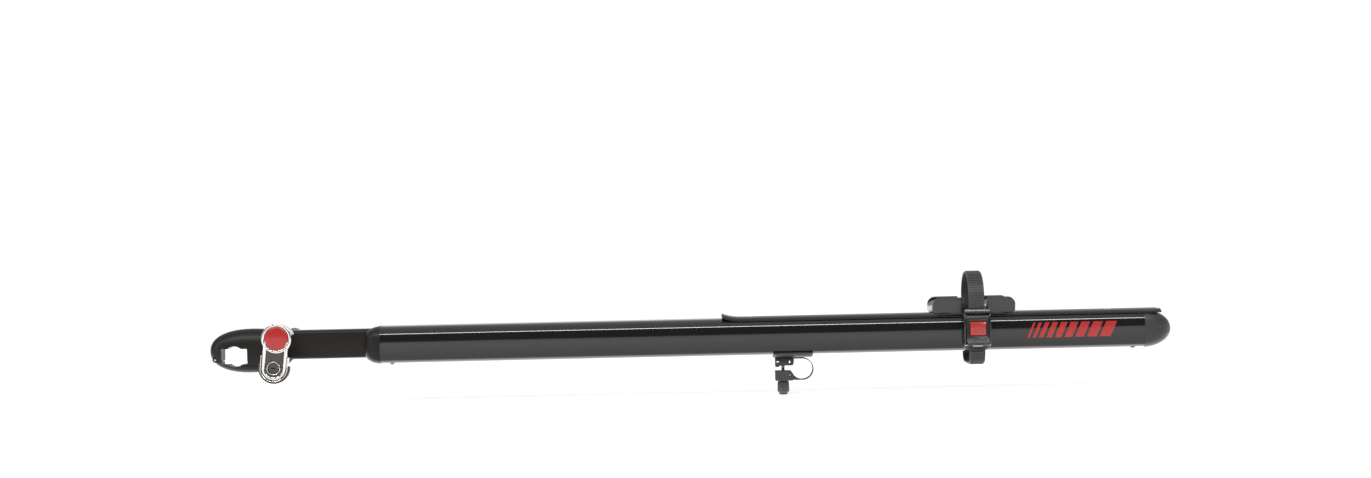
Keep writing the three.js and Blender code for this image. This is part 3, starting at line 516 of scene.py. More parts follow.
rivet_low, rivet_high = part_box("tray_rivet_1")
rear_rivet_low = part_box("tray_rivet_2")[0]
rivet_radius = (rivet_high.x - rivet_low.x) / 2
rivet_profile = [(0, -0.002), (rivet_radius * 0.9, -0.002), (rivet_radius, 0)] + [
    (rivet_radius * math.cos(a), 0.0017 * math.sin(a)) for a in
    [math.pi / 2 * i / 8 for i in range(1, 8)]] + [(0, 0.0017)]
rivets = grown("tray_rivets", row, steel, Shape=turned("rivet", rivet_profile, steps=36), Count=2,
               Start=((rivet_low.x + rivet_high.x) / 2, 0, rivet_high.z - 0.0017),
               Step=(rear_rivet_low.x - rivet_low.x, 0, 0))
fit(rivets, "rail", "steel", steel, "tray_rivet_1", "tray_rivet_2")

# ---------------------------------------------------------------- wheel tray
# A long sheet channel riveted on top of the beam, its edges rolled down over the corners
# and its front edge flared up so that the tyre rolls in. Painted satin black.
tray_low, tray_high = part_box("wheel_tray")
sheet, flare_length, flare_rise = 0.0012, 0.026, 0.005
lip_share = 1 - 0.0051 / half_height
lip_angle = math.degrees(math.asin(lip_share ** (squareness / 2)))


def tray_ring(x):
    """The tray's closed section at x, lifted where it flares."""
    lift = flare_rise * max(0.0, 1 - (x - tray_low.x) / flare_length) ** 2
    outer = outline(gap + sheet, lip_angle, 180 - lip_angle, 60)
    inner = outline(gap, lip_angle, 180 - lip_angle, 60)[::-1]
    roll = [(outer[-1][0] - 0.0004, outer[-1][1] - 0.0009)]
    back_roll = [(-roll[0][0], roll[0][1])]
    return [(x, y, z + lift) for y, z in outer + roll + inner + back_roll]


tray_xs = [tray_low.x + flare_length * i / 12 for i in range(13)]
tray_xs += [tray_low.x + flare_length + (tray_high.x - tray_low.x - flare_length) * i / 10
            for i in range(1, 11)]
tray = loft("tray", [tray_ring(x) for x in tray_xs])
fit(tray, "rail", "satin", satin, "wheel_tray")

# ---------------------------------------------------------------- side strip
# A plain red decoration on the lever side: slanted bars that widen towards the rear.
# Thin printed film laid on the beam's skin.
strip_low, strip_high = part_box("side_decal")
red_film, film_shader, place = finish("red_film", 0.32, coat=0.2)
plug(film_shader, Base_Color=noise(place, 60, 3).mixed(
    (0.29, 0.009, 0.007, 1), (0.36, 0.013, 0.011, 1)),
    Roughness=0.25 + noise(place, 300, 3) * 0.15)
skin_points = [(y, z) for y, z in outline(0.00012, 120, 240, 240)
               if strip_low.z <= z <= strip_high.z]
film = 0.00016
strip_height = strip_high.z - strip_low.z
slant = 0.45                          # run of each bar's lean for its rise
strip_length = strip_high.x - strip_low.x - slant * strip_height


def bar(start, width, foot, top):
    """One slanted bar that follows the beam's skin, as a thin closed plate."""
    span = [(y, z) for y, z in skin_points if foot <= (z - strip_low.z) / strip_height <= top]
    rings = []
    for y, z in span:
        x = start + slant * (z - strip_low.z)
        rings.append([(x, y, z), (x + width, y, z), (x + width, y - film, z), (x, y - film, z)])
    return loft("bar", rings)


bar_count = 9
bars = []
at = 0.0
for i in range(bar_count):
    width = strip_length * (0.35 + 1.3 * i / (bar_count - 1)) / (bar_count * 1.45)
    bars.append(bar(strip_low.x + at, width, 0.0, 1.0))
    at += width + strip_length * 0.45 / (bar_count * 1.45)
side_strip = joined("side_strip", bars)
fit(side_strip, "rail", "red_plastic", red_film, "side_decal")

# ---------------------------------------------------------------- head and lower jaw
# A cast egg-shaped head with a channel for the front crossbar. It is split along a parting
# line: the lower jaw swings on a pin at the nose and is drawn up by one bolt. Satin black.
head_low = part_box("head_body")[0]
jaw_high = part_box("lower_jaw")[1]
rod_low, rod_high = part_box("skewer_rod")
skewer_x, skewer_z = (rod_low.x + rod_high.x) / 2, (rod_low.z + rod_high.z) / 2
egg_middle, egg_half = Vector((0.024, 0, 0.0076)), Vector((0.060, 0.018, 0.031))
bar_radius, flat_half, flat_rise = 0.0146, 0.0185, 0.0109
nose_pin_x, nose_pin_z, knuckle, knuckle_half = -0.0282, -0.0045, 0.0038, 0.005
parting_front, parting_rear, parting_gap = -0.0065, -0.0128, 0.00035
skewer_bore, boss_radius, post_radius = 0.0033, 0.009, 0.008
bolt_head_radius, bolt_head_height, bolt_head_room, bolt_hole = 0.0062, 0.0041, 0.0068, 0.0042
hexagon_radius = 0.0034


def rod(radius, low, high, axis, centre, steps=64, rim=0.0):
    """A solid round bar between two places along an axis, its rims chamfered."""
    profile = [(0, low), (radius - rim, low), (radius, low + rim), (radius, high - rim),
               (radius - rim, high), (0, high)]
    return turned("rod", profile, axis, centre, steps)


def prism(name, points, axis, low, high, rounding=0.0, segments=3):
    """An outline pushed along an axis: (y, z) along X, (x, z) along Y or (x, y) along Z."""
    def placed(a, b, depth):
        return {"X": (depth, a, b), "Y": (a, depth, b), "Z": (a, b, depth)}[axis]
    made = loft(name, [[placed(a, b, depth) for a, b in points] for depth in (low, high)])
    return bevelled(made, rounding, segments) if rounding else made


def carved(piece, *tools, operation="DIFFERENCE"):
    """Cuts the tools out of a piece, or joins them to it, and uses them up."""
    for tool in tools:
        step = piece.modifiers.new("carve", "BOOLEAN")
        step.operation, step.object, step.solver = operation, tool, "MANIFOLD"
        settle(piece)
        bpy.data.objects.remove(tool)
    tidy(piece.data)
    return piece


def melted(piece, voxel, passes):
    """Remeshes a piece finely and relaxes it, which rounds its edges as casting does."""
    grid = piece.modifiers.new("grid", "REMESH")
    grid.mode, grid.voxel_size = "VOXEL", voxel
    relax = piece.modifiers.new("relax", "SMOOTH")
    relax.factor, relax.iterations = 0.5, passes
    settle(piece)
    tidy(piece.data, 70)
    return piece


def egg(steps=96):
    """The head's full outer form, squarer across the rail than along it."""
    rings = []
    for i in range(steps // 2 + 1):
        tilt = math.pi * i / (steps // 2) - math.pi / 2
        ring = []
        for k in range(steps):
            angle = 2 * math.pi * k / steps
            x, z = math.cos(tilt) * math.cos(angle), math.cos(tilt) * math.sin(angle)
            y = math.sin(tilt)
            plane = (abs(x) ** 2.3 + abs(z) ** 2.3) ** (1 / 2.3)
            size = (plane ** 2.6 + abs(y) ** 2.6) ** (1 / 2.6)
            ring.append(egg_middle + Vector((x * egg_half.x, y * egg_half.y, z * egg_half.z)) / size)
        rings.append(ring)
    return loft("egg", rings, ends=True)


def channel():
    """The room for a round or a flat crossbar."""
    flat = prism("flat_bar", rounded(flat_half, flat_rise, 0.0008), "Y", -0.1, 0.1)
    return carved(rod(bar_radius, -0.1, 0.1, "Y", (0, 0, 0)), flat, operation="UNION")


def below_parting(rise):
    """Everything under the parting line, which steps down behind the channel."""
    far = 0.3
    front, rear = parting_front + rise, parting_rear + rise
    return prism("below_parting", [
        (-far, -far), (far, -far), (far, rear), (0, rear), (0, front), (nose_pin_x, front),
        (nose_pin_x, nose_pin_z), (-far, nose_pin_z)], "Y", -0.2, 0.2)


nose = (nose_pin_x, 0, nose_pin_z)
post_middle = Vector((0.067, 0, -0.002))
boss_end = -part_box("hub_washer_near")[1].y - gap
neck_room = prism("neck_room", [(y * 1.02, z) for y, z in neck_ring], "X",
                  neck_low.x, neck_low.x + 0.08)
cheek_radius, cheek_x, cheek_z = 0.013, skewer_x - 0.005, neck_high.z - 0.0139
cheek_arc = [(cheek_x + cheek_radius * math.cos(a), cheek_z + cheek_radius * math.sin(a))
             for a in [math.pi * (i / 32 - 0.5) for i in range(33)]]
cheeks = prism("cheeks", cheek_arc + [(cheek_x - 0.018, cheek_z + cheek_radius),
                                      (cheek_x - 0.018, cheek_z - cheek_radius)],
               "Y", -0.0185, 0.0185, 0.0022, 5)
head = carved(egg(), cheeks,
              rod(boss_radius, -boss_end, boss_end, "Y", (skewer_x, 0, skewer_z), rim=0.0012),
              rod(post_radius, head_low.y, 0.0, "Y", post_middle, rim=0.0006), operation="UNION")
head = carved(head, below_parting(parting_gap))
head = carved(head, rod(knuckle, -knuckle_half, knuckle_half, "Y", nose), operation="UNION")
head = carved(head, channel(), neck_room,
              rod(knuckle + gap, knuckle_half, 0.016, "Y", nose),
              rod(knuckle + gap, -0.016, -knuckle_half, "Y", nose),
              rod(0.0034, -0.08, 0.08, "Y", (skewer_x, 0, skewer_z)))
melted(head, 0.00062, 3)
fit(head, "rail", "satin", satin, "head_body")

jaw = carved(egg(), below_parting(-parting_gap), operation="INTERSECT")
jaw = carved(jaw, prism("nose_room", [(-0.2, -0.1), (nose_pin_x, -0.1), (nose_pin_x, 0.1),
                                      (-0.2, 0.1)], "Y", -0.1, 0.1))
jaw = carved(jaw, rod(knuckle, knuckle_half + gap, jaw_high.y * 0.6, "Y", nose),
             rod(knuckle, -jaw_high.y * 0.6, -knuckle_half - gap, "Y", nose),
             operation="UNION")
bolt_low, bolt_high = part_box("jaw_bolt")
bolt_x = (bolt_low.x + bolt_high.x) / 2
jaw = carved(jaw, rod(knuckle + gap, -knuckle_half - gap, knuckle_half + gap, "Y", nose),
             channel(), rod(bolt_head_room, -0.05, -0.019, "Z", (bolt_x, 0, 0)),
             rod(bolt_hole, -0.05, 0.02, "Z", (bolt_x, 0, 0)))
melted(jaw, 0.0005, 3)
fit(jaw, "lower_jaw", "satin", satin, "lower_jaw")

# The bolt that draws the jaw up: a socket head, its hexagon facing down.
bolt_head = carved(
    rod(bolt_head_radius, bolt_low.z, bolt_low.z + bolt_head_height, "Z", (bolt_x, 0, 0),
        rim=0.0006),
    turned("hexagon", [(0, bolt_low.z - 0.001), (hexagon_radius, bolt_low.z - 0.001),
                       (hexagon_radius, bolt_low.z + 0.0025), (0, bolt_low.z + 0.0025)],
           "Z", (bolt_x, 0, 0), 6))
thread = [(0, bolt_low.z + 0.004)]
while thread[-1][1] < bolt_high.z - 0.001:
    thread.append((0.0037 if len(thread) % 2 else 0.0033, thread[-1][1] + 0.0005))
shank = turned("shank", thread + [(0, thread[-1][1] + 0.0004)], "Z", (bolt_x, 0, 0), 40)
fit(joined("jaw_bolt_turned", [bolt_head, shank]), "lower_jaw", "steel", steel, "jaw_bolt")


# ---------------------------------------------------------------- skewer
# A steel rod through the head, with a hard knurled washer on each side that the fork ends
# grip, a plastic cam washer, and a finger nut on the far side. Rod threaded at its end.
def ring_recipe():
    """A Geometry Nodes tree: copies of a shape spread round the Y or Z axis of a centre."""
    tree, given, start = opened("ring_of_copies", Shape="Object", Count="Int", Radius="Float",
                                Centre="Vector", Lean="Vector")
    circle = start.node("GeometryNodeMeshCircle",
                        {"Vertices": given["Count"], "Radius": given["Radius"]})
    outwards = start.node("GeometryNodeInputPosition")
    turn = start.node("FunctionNodeAlignRotationToVector", {"Vector": outwards}, axis="X",
                      pivot_axis="Z")
    return close_recipe(tree, given, circle, turn)


ring = ring_recipe()
facing_y = (math.radians(90), 0, 0)

chrome, chrome_shader, place = finish("polished_chrome", 0.08, metallic=1.0)
cloud = noise(place, 70, 4)
plug(chrome_shader,
     Base_Color=cloud.mixed((0.58, 0.565, 0.545, 1), (0.70, 0.685, 0.665, 1)),
     Roughness=0.05 + cloud * 0.08 + noise(place, 900, 3).held(0.6, 0.75) * 0.08,
     Normal=bump(cloud, 0.00002, 0.15))

rod_radius = (rod_high.x - rod_low.x) / 2
thread = [(0, rod_low.y), (rod_radius - 0.0003, rod_low.y), (rod_radius, rod_low.y + 0.0003)]
thread_start, pitch = rod_high.y - 0.026, 0.0008
thread.append((rod_radius, thread_start))
while thread[-1][1] < rod_high.y - pitch:
    crest = rod_radius - (0.0004 if len(thread) % 2 else 0)
    thread.append((crest, thread[-1][1] + pitch / 2))
thread.append((0, thread[-1][1] + 0.0003))
skewer = turned("skewer", thread, "Y", (skewer_x, 0, skewer_z), 32)
fit(skewer, "rail", "steel", steel, "skewer_rod")

for side, node in ((-1, "hub_washer_near"), (1, "hub_washer_far")):
    low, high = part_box(node)
    outer, inner = (high.x - low.x) / 2, skewer_bore
    rim = 0.0005
    washer = turned(node + "_ring", [
        (inner, low.y), (outer - rim, low.y), (outer, low.y + rim), (outer, high.y - rim),
        (outer - rim, high.y), (inner, high.y), (inner, low.y)], "Y", (skewer_x, 0, skewer_z), 72)
    face_y = low.y if side < 0 else high.y
    tooth = prism("tooth", rounded(0.0026, 0.0003, 0.00013, 1), "Z", -0.00018, 0.00018)
    teeth = grown(node + "_teeth", ring, steel, Shape=tooth, Count=36, Radius=0.0064,
                  Centre=(skewer_x, face_y, skewer_z), Lean=facing_y)
    fit(joined(node + "_knurled", [washer, teeth]), "rail", "steel", steel, node)

cam_low, cam_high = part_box("cam_washer")
cam_washer_radius = (cam_high.x - cam_low.x) / 2
cam_ring = turned("cam_washer_ring", [
    (skewer_bore, cam_low.y), (cam_washer_radius - 0.0006, cam_low.y),
    (cam_washer_radius, cam_low.y + 0.0006), (cam_washer_radius, cam_high.y - 0.0006),
    (cam_washer_radius - 0.0006, cam_high.y), (skewer_bore, cam_high.y), (skewer_bore, cam_low.y)],
    "Y", (skewer_x, 0, skewer_z), 56)
fit(cam_ring, "rail", "plastic", plastic, "cam_washer")

nut_low, nut_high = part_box("adjusting_nut")
nut_radius = (nut_high.x - nut_low.x) / 2


def scalloped(angle, height):
    """Eight finger scallops round the nut, behind its plain front rim."""
    depth = 0.14 * min(1.0, max(0.0, (height - nut_low.y - 0.003) / 0.002))
    return 1 - depth * max(0.0, math.cos(8 * angle)) ** 2


nut_profile = [(skewer_bore, nut_low.y), (nut_radius * 0.94, nut_low.y),
               (nut_radius, nut_low.y + 0.001)]
nut_profile += [(nut_radius, nut_low.y + 0.001 + 0.0105 * i / 12) for i in range(1, 13)]
nut_profile += [(nut_radius * 0.96, nut_high.y - 0.001), (nut_radius * 0.86, nut_high.y),
                (0.0045, nut_high.y), (skewer_bore, nut_high.y - 0.001), (skewer_bore, nut_low.y)]
nut = turned("finger_nut", nut_profile, "Y", (skewer_x, 0, skewer_z), 128, scalloped)
fit(nut, "adjusting_nut", "chrome", chrome, "adjusting_nut")

# ---------------------------------------------------------------- cam lever
# A chromed cam lever: a barrel cam behind a red domed disc, and a U of two arms round a dark
# insert and a key lock. It turns on a pin through the cam and the skewer's end.
frame_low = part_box("lever_frame")[0]
lean = math.radians(6.3)
lever_place = Matrix.Translation((skewer_x, 0, skewer_z)) @ Matrix.Rotation(lean, 4, "Y")
lever_front, lever_back = frame_low.y, frame_low.y + 0.009
u_half, arm, lock_drop, cam_radius = 0.0167, 0.0047, 0.0406, 0.0205


def leaned(piece):
    piece.data.transform(lever_place)
    return piece


def u_path(half, top, steps=48):
    """Down one side, round a half circle about the lock and up the other side, in X and Z."""
    turn = [(half * math.cos(a), -lock_drop + half * math.sin(a)) for a in
            [math.pi + math.pi * i / steps for i in range(steps + 1)]]
    return [(-half, top)] + turn + [(half, top)]


def swept(name, path, section, fixed="Y", closed=False):
    """A section (outwards, along the fixed axis) carried along a flat path."""
    rings = []
    for i, (a, b) in enumerate(path):
        before = path[i - 1] if closed or i else path[i]
        after = path[(i + 1) % len(path)] if closed or i + 1 < len(path) else path[i]
        along = Vector((after[0] - before[0], after[1] - before[1])).normalized()
        out = Vector((along.y, -along.x))
        ring = []
        for reach_out, depth in section:
            p, q = a + out.x * reach_out, b + out.y * reach_out
            ring.append((p, depth, q) if fixed == "Y" else (depth, p, q))
        rings.append(ring)
    return loft(name, rings, ends=not closed)


def shifted(section, out, depth):
    return [(a + out, b + depth) for a, b in section]


lever_depth = (lever_back - lever_front) / 2
arm_section = shifted(rounded(arm / 2, lever_depth, 0.0017, 5), 0, lever_front + lever_depth)
u_frame = swept("lever_chrome", u_path(u_half - arm / 2, -0.004), arm_section)
circle_path = [(0.0185 * math.cos(a), 0.0185 * math.sin(a)) for a in
               [-2 * math.pi * i / 96 for i in range(96)]]
ring_section = shifted(rounded(0.002, 0.0045, 0.0012, 4), 0, lever_front + 0.0045)
rim_ring = swept("rim_ring", circle_path, ring_section, closed=True)
pin_y = lever_front + 0.007
cam_back = -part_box("cam_washer")[0].y + gap
barrel = carved(rod(cam_radius - 0.0002, lever_front + 0.0022, -cam_back, "Y", (0, 0, 0), 96,
                    rim=0.0008),
                rod(cam_radius - 0.00075, -0.03, 0.03, "X", (0, pin_y + 0.00075, 0), 96),
                operation="INTERSECT")
lever = carved(u_frame, rim_ring, barrel, operation="UNION")
slot_tool = prism("slot_tool", [(-0.0033, -0.0033), (0.0033, -0.0033), (0.0033, 0.03),
                                (-0.0033, 0.03)], "Y", pin_y - 0.0033, 0.0)
lever = carved(lever, slot_tool, rod(0.0035, -0.03, 0.03, "X", (0, pin_y, 0), 40))
fit(leaned(lever), "skewer_lever", "chrome", chrome, "lever_frame")

disc_low, disc_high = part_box("lever_cap_disc")
disc_radius = 0.0163
red, red_shader, place = finish("red_plastic", 0.3, coat=0.3)
cloud = noise(place, 90, 3)
plug(red_shader,
     Base_Color=edges(place).mixed(
         cloud.mixed((0.29, 0.007, 0.006, 1), (0.35, 0.010, 0.008, 1)), (0.45, 0.05, 0.04, 1)),
     Roughness=0.26 + cloud * 0.14,
     Normal=bump(noise(place, 1400, 2), 0.00003, 0.4))
dome_rise = disc_high.y - 0.0012 - disc_low.y
disc_profile = [(0, disc_high.y), (disc_radius - 0.0003, disc_high.y),
                (disc_radius, disc_high.y - 0.0004), (disc_radius, disc_high.y - 0.0010)]
disc_profile += [(disc_radius * math.cos(a), disc_high.y - 0.0012 - dome_rise * math.sin(a))
                 for a in [math.pi / 2 * i / 14 for i in range(1, 14)]]
disc = turned("red_disc", disc_profile + [(0, disc_low.y)], "Y", (0, 0, 0), 96)
fit(leaned(disc), "skewer_lever", "red_plastic", red, "lever_cap_disc")

insert_half, insert_low, insert_high = u_half - arm - 0.0001, *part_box("lever_insert")
round_cam = cam_radius + gap
arch = [(x, -math.sqrt(round_cam ** 2 - x ** 2)) for x in
        [insert_half * (1 - 2 * i / 20) for i in range(21)]]
foot = [(insert_half * math.cos(a), -lock_drop + insert_half * math.sin(a)) for a in
        [math.pi + math.pi * i / 48 for i in range(49)]]
lock_middle = (0, 0, -lock_drop)
insert = prism("lever_inlay", foot + arch, "Y", insert_low.y, insert_high.y, 0.0005)
insert = carved(insert, rod(0.0097, -0.1, 0, "Y", lock_middle))
inlay, inlay_shader, place = finish("dark_inlay", 0.45)
grain = noise(place, 1600, 3)
plug(inlay_shader,
     Base_Color=noise(place, 60, 3).mixed((0.030, 0.026, 0.022, 1), (0.052, 0.046, 0.040, 1)),
     Roughness=0.36 + grain * 0.2,
     Normal=bump(grain, 0.00006, 0.6))
fit(leaned(insert), "skewer_lever", "plastic", inlay, "lever_insert")

bezel_low, bezel_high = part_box("lock_bezel")
bezel = turned("lock_ring", [
    (0.0075, bezel_high.y), (0.0093, bezel_high.y), (0.0095, bezel_high.y - 0.0003),
    (0.0095, bezel_low.y + 0.0008), (0.0091, bezel_low.y + 0.0002), (0.0085, bezel_low.y),
    (0.0079, bezel_low.y + 0.0002), (0.0075, bezel_low.y + 0.0008), (0.0075, bezel_high.y)],
    "Y", lock_middle, 72)
fit(leaned(bezel), "skewer_lever", "chrome", chrome, "lock_bezel")

plug_low, plug_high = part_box("lock_plug")
lock = rod(0.0072, plug_low.y, plug_high.y, "Y", lock_middle, rim=0.0006)
keyway = [(a, b - lock_drop) for a, b in rounded(0.0031, 0.0007, 0.0003, 2)]
lock = carved(lock, prism("keyway", keyway, "Y", -0.1, plug_low.y + 0.003))
fit(leaned(lock), "lock_plug", "plastic", inlay, "lock_plug")

# ---------------------------------------------------------------- keeper
# A moulded cup, screwed to a post of the head, that the closed lever's end drops into. A
# bright spring-steel band lines it.
cup_low, cup_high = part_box("keeper_cup")
band_low, band_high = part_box("keeper_band")
band_sheet, cup_wall = 0.0014, 0.0021
band_mid = 0.0191 - band_sheet / 2
cup_mid = 0.0194 + cup_wall / 2
flange_front = lever_back + 0.0004
cup_depth = (flange_front + 0.001 - cup_low.y) / 2
cup_section = shifted(rounded(cup_wall / 2, cup_depth, 0.0008, 3), 0, cup_low.y + cup_depth)
cup = swept("keeper_moulding", u_path(cup_mid, -lock_drop + 0.004), cup_section)
plate_half = cup_mid + cup_wall / 2 - 0.0001
plate = prism("keeper_plate", u_path(plate_half, -lock_drop + 0.004)[1:-1] + [
    (0.013, -lock_drop + 0.004), (0.013, -0.0212), (-0.013, -0.0212),
    (-0.013, -lock_drop + 0.004)], "Y", flange_front, cup_high.y, 0.0006)
cup = carved(cup, plate, operation="UNION")
fit(leaned(cup), "rail", "plastic", plastic, "keeper_cup")
band_depth = (band_high.y - band_low.y) / 2
band_section = shifted(rounded(band_sheet / 2, band_depth, 0.0006, 3), 0, band_low.y + band_depth)
band = swept("keeper_spring", u_path(band_mid, -lock_drop + 0.016), band_section)
fit(leaned(band), "rail", "chrome", chrome, "keeper_band")

# ---------------------------------------------------------------- wheel cradle
# A moulded saddle that slides along the tray. Two pairs of wings lean out to hold the tyre,
# with a waist between them for the strap and a skirt down each side. Satin-black nylon.
station_low, station_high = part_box("strap_cradle")
strap_low, strap_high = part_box("wheel_strap")
strap_x = (strap_low.x + strap_high.x) / 2
shell_inside = sheet + 2 * gap
shell_wall = 0.003
shell_out = shell_inside + shell_wall
waist_half, waist_top = 0.0145, station_high.z - 0.0134
skirt_half, skirt_low = 0.0185, station_low.z


def eased(value, low, high):
    """Rises smoothly from 0 at low to 1 at high."""
    t = min(1.0, max(0.0, (value - low) / (high - low)))
    return t * t * (3 - 2 * t)


def wing_top(x):
    """Height of the wings' upper edge along the rail: round tips and a notch at the waist."""
    off = x - strap_x
    tip_round = 0.0115
    end = station_high.x - x if off > 0 else x - station_low.x
    corner = tip_round * (1 - math.sqrt(max(0.0, 1 - (1 - min(1.0, end / tip_round)) ** 2)))
    notch = 1 - eased(abs(off), waist_half - 0.0006, waist_half + 0.0028)
    return station_high.z - corner - notch * (station_high.z - waist_top)


def wing_foot(x):
    """Height of the wings' lower edge: it arcs down from the tips to the waist."""
    off = x - strap_x
    end = station_high.x - x if off > 0 else x - station_low.x
    tip = beam_top_z - 0.0008 + 0.004 * (1 - min(1.0, end / 0.006)) ** 2
    inner = beam_top_z - 0.0075
    return tip + (inner - tip) * (1 - eased(abs(off), skirt_half, 0.040))


def spaced(low, high, steps):
    return [low + (high - low) * i / steps for i in range(steps + 1)]


near_tip = 0.0003
wing_xs = (spaced(station_low.x + near_tip, station_low.x + 0.012, 14)
           + spaced(station_low.x + 0.013, strap_x - 0.0205, 26)
           + spaced(strap_x - 0.0200, strap_x + 0.0200, 80)
           + spaced(strap_x + 0.0205, station_high.x - 0.013, 26)
           + spaced(station_high.x - 0.012, station_high.x - near_tip, 14))
lean_foot, lean_top = half_width - 0.0085, half_width + 0.0022


def wing(side):
    """One long side wall with both its wings, leaning outwards and slightly cupped."""
    rings = []
    for x in wing_xs:
        low, high = wing_foot(x), wing_top(x)
        high = max(high, low + 0.004)
        outer, inner = [], []
        steps = 16
        for i in range(steps + 1):
            t = i / steps
            z = low + (high - low) * t
            up = (z - beam_top_z + 0.008) / (station_high.z - beam_top_z + 0.008)
            lean = max(0.0, up)
            y = lean_foot + (lean_top - lean_foot) * (lean ** 0.8)
            bead = 0.0009 * max(0.0, 1 - abs(t - 0.94) / 0.10) if high - low > 0.012 else 0
            edge = min(1.0, math.sqrt(max(0.0, 1 - (2 * t - 1) ** 16)) + 0.15)
            half = shell_wall / 2 * edge + bead
            outer.append((x, side * (y + half), z))
            inner.append((x, side * (y - half), z))
        rings.append(outer + inner[::-1])
    return loft("wing", rings)


def saddle_shell(low_x, high_x, foot_z, name):
    """A stretch of shell that hugs the tray and the beam's sides down to foot_z."""
    share = max(-0.999, min(0.999, (foot_z - beam_middle_z) / (half_height + shell_inside)))
    start = math.degrees(math.asin(math.copysign(abs(share) ** (squareness / 2), share)))
    outer = outline(shell_out, start, 180 - start, 96)
    inner = outline(shell_inside, start, 180 - start, 96)[::-1]
    return prism(name, outer + inner, "X", low_x, high_x, 0.0007, 3)


base = saddle_shell(station_low.x + 0.010, station_high.x - 0.010, beam_top_z - 0.0035, "base")
skirt = saddle_shell(strap_x - skirt_half, strap_x + skirt_half, skirt_low, "skirt")
cradle = carved(wing(1), wing(-1), base, skirt, operation="UNION")
bore = prism("bore", outline(shell_inside, steps=200), "X", station_low.x - 0.01,
             station_high.x + 0.01)
cradle = carved(cradle, bore)
nylon, nylon_shader, place = finish("satin_nylon", 0.3, coat=0.35)
cloud = noise(place, 40, 3)
plug(nylon_shader,
     Base_Color=edges(place, 0.12).mixed(
         cloud.mixed((0.007, 0.007, 0.0075, 1), (0.011, 0.011, 0.012, 1)),
         (0.050, 0.050, 0.053, 1)),
     Roughness=0.24 + cloud * 0.12,
     Normal=bump(noise(place, 2200, 2), 0.00004, 0.45))
fit(cradle, "strap_station", "plastic", nylon, "strap_cradle")

# ---------------------------------------------------------------- wheel strap
# A long ratchet strap of tough rubber: riveted on the far side, over the wheel, down through
# the buckle and under the beam. Its outer face is toothed, its edges are left smooth.
strap_thick, buckle_wall = 0.003, 0.0022
strap_far = station_high.y + gap + strap_thick / 2
near_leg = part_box("buckle_frame")[1].y - buckle_wall - gap - strap_thick / 2
shoulder_z, arch_high = beam_top_z + 0.0229, strap_high.z - strap_thick / 2
tail_round, tail_low = 0.017, strap_low.z + strap_thick / 2
anchor_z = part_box("strap_rivet")[0].z + 0.005


def round_about(cy, cz, ry, rz, start, stop, steps):
    return [(cy + ry * math.cos(a), cz + rz * math.sin(a)) for a in
            [math.radians(start + (stop - start) * i / steps) for i in range(steps + 1)]]


arch_y, arch_half = (strap_far + near_leg) / 2, (strap_far - near_leg) / 2
strap_path = [(strap_far, anchor_z - 0.008), (strap_far, beam_top_z - 0.009)]
strap_path += round_about(arch_y, shoulder_z, arch_half, arch_high - shoulder_z, 0, 180, 72)
strap_path += [(near_leg, beam_top_z - 0.009), (near_leg, anchor_z - 0.008)]
strap_path += round_about(near_leg + tail_round, tail_low + tail_round, tail_round, tail_round,
                          180, 270, 24)
strap_path += round_about(strap_far - tail_round - 0.002, tail_low + tail_round, tail_round,
                          tail_round, 270, 356, 24)
strap_path = strap_path[::-1]        # from the free tail, so that outside stays outside
strap_half = (strap_high.x - strap_low.x) / 2
strap_section = shifted(rounded(0.0012, strap_half, 0.0009, 4), 0, strap_x)
strap_body = swept("strap_body", strap_path, strap_section, fixed="X")


def strap_recipe():
    """A Geometry Nodes tree: teeth across a path, turned to follow it, evenly spaced."""
    tree, given, start = opened("teeth_along_path", Shape="Object", Pitch="Float")
    path = start.node("GeometryNodeMeshToCurve", {"Mesh": start})
    spread = start.node("GeometryNodeResampleCurve", {"Curve": path, "Length": given["Pitch"]},
                        mode="LENGTH")
    along = start.node("GeometryNodeInputTangent")
    turn = start.node("FunctionNodeAlignRotationToVector", {"Vector": along}, axis="Y",
                      pivot_axis="X")
    return close_recipe(tree, given, spread, turn)


def toothed(name, path, tooth_half, pitch, tooth_width, material):
    """Teeth along a flat path in Y and Z, on its outer side."""
    tooth = prism("tooth", [(-tooth_width / 2, 0.0006), (tooth_width / 2, 0.0006),
                            (tooth_width * 0.36, 0.00215), (-tooth_width * 0.30, 0.00195)],
                  "X", -tooth_half, tooth_half)
    line = bpy.data.meshes.new(name)
    line.from_pydata([(strap_x, y, z) for y, z in path],
                     [(i, i + 1) for i in range(len(path) - 1)], [])
    made = bpy.data.objects.new(name, line)
    scene.collection.objects.link(made)
    return grown(name, strap_recipe(), material, made, Shape=tooth, Pitch=pitch)


rubber, rubber_shader, place = finish("strap_rubber", 0.55)
grain = noise(place, 1500, 3)
plug(rubber_shader,
     Base_Color=noise(place, 70, 3).mixed((0.024, 0.024, 0.027, 1), (0.040, 0.040, 0.044, 1)),
     Roughness=0.42 + grain * 0.2,
     Normal=bump(grain, 0.00006, 0.5))
teeth = toothed("strap_teeth", strap_path, strap_half - 0.0022, 0.0036, 0.0024, rubber)
strap = joined("toothed_strap", [strap_body, teeth])
fit(strap, "strap_station", "strap", rubber, "wheel_strap")

anchor_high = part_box("strap_rivet")[1]
anchor_profile = [(0, strap_far), (0.005, strap_far), (0.005, anchor_high.y - 0.0006)]
anchor_profile += [(0.005 * math.cos(a), anchor_high.y - 0.0006 + 0.0006 * math.sin(a))
                   for a in [math.pi / 2 * i / 8 for i in range(1, 8)]] + [(0, anchor_high.y)]
anchor = turned("anchor_rivet", anchor_profile, "Y", (strap_x, 0, anchor_z), 48)
fit(anchor, "strap_station", "steel", steel, "strap_rivet")

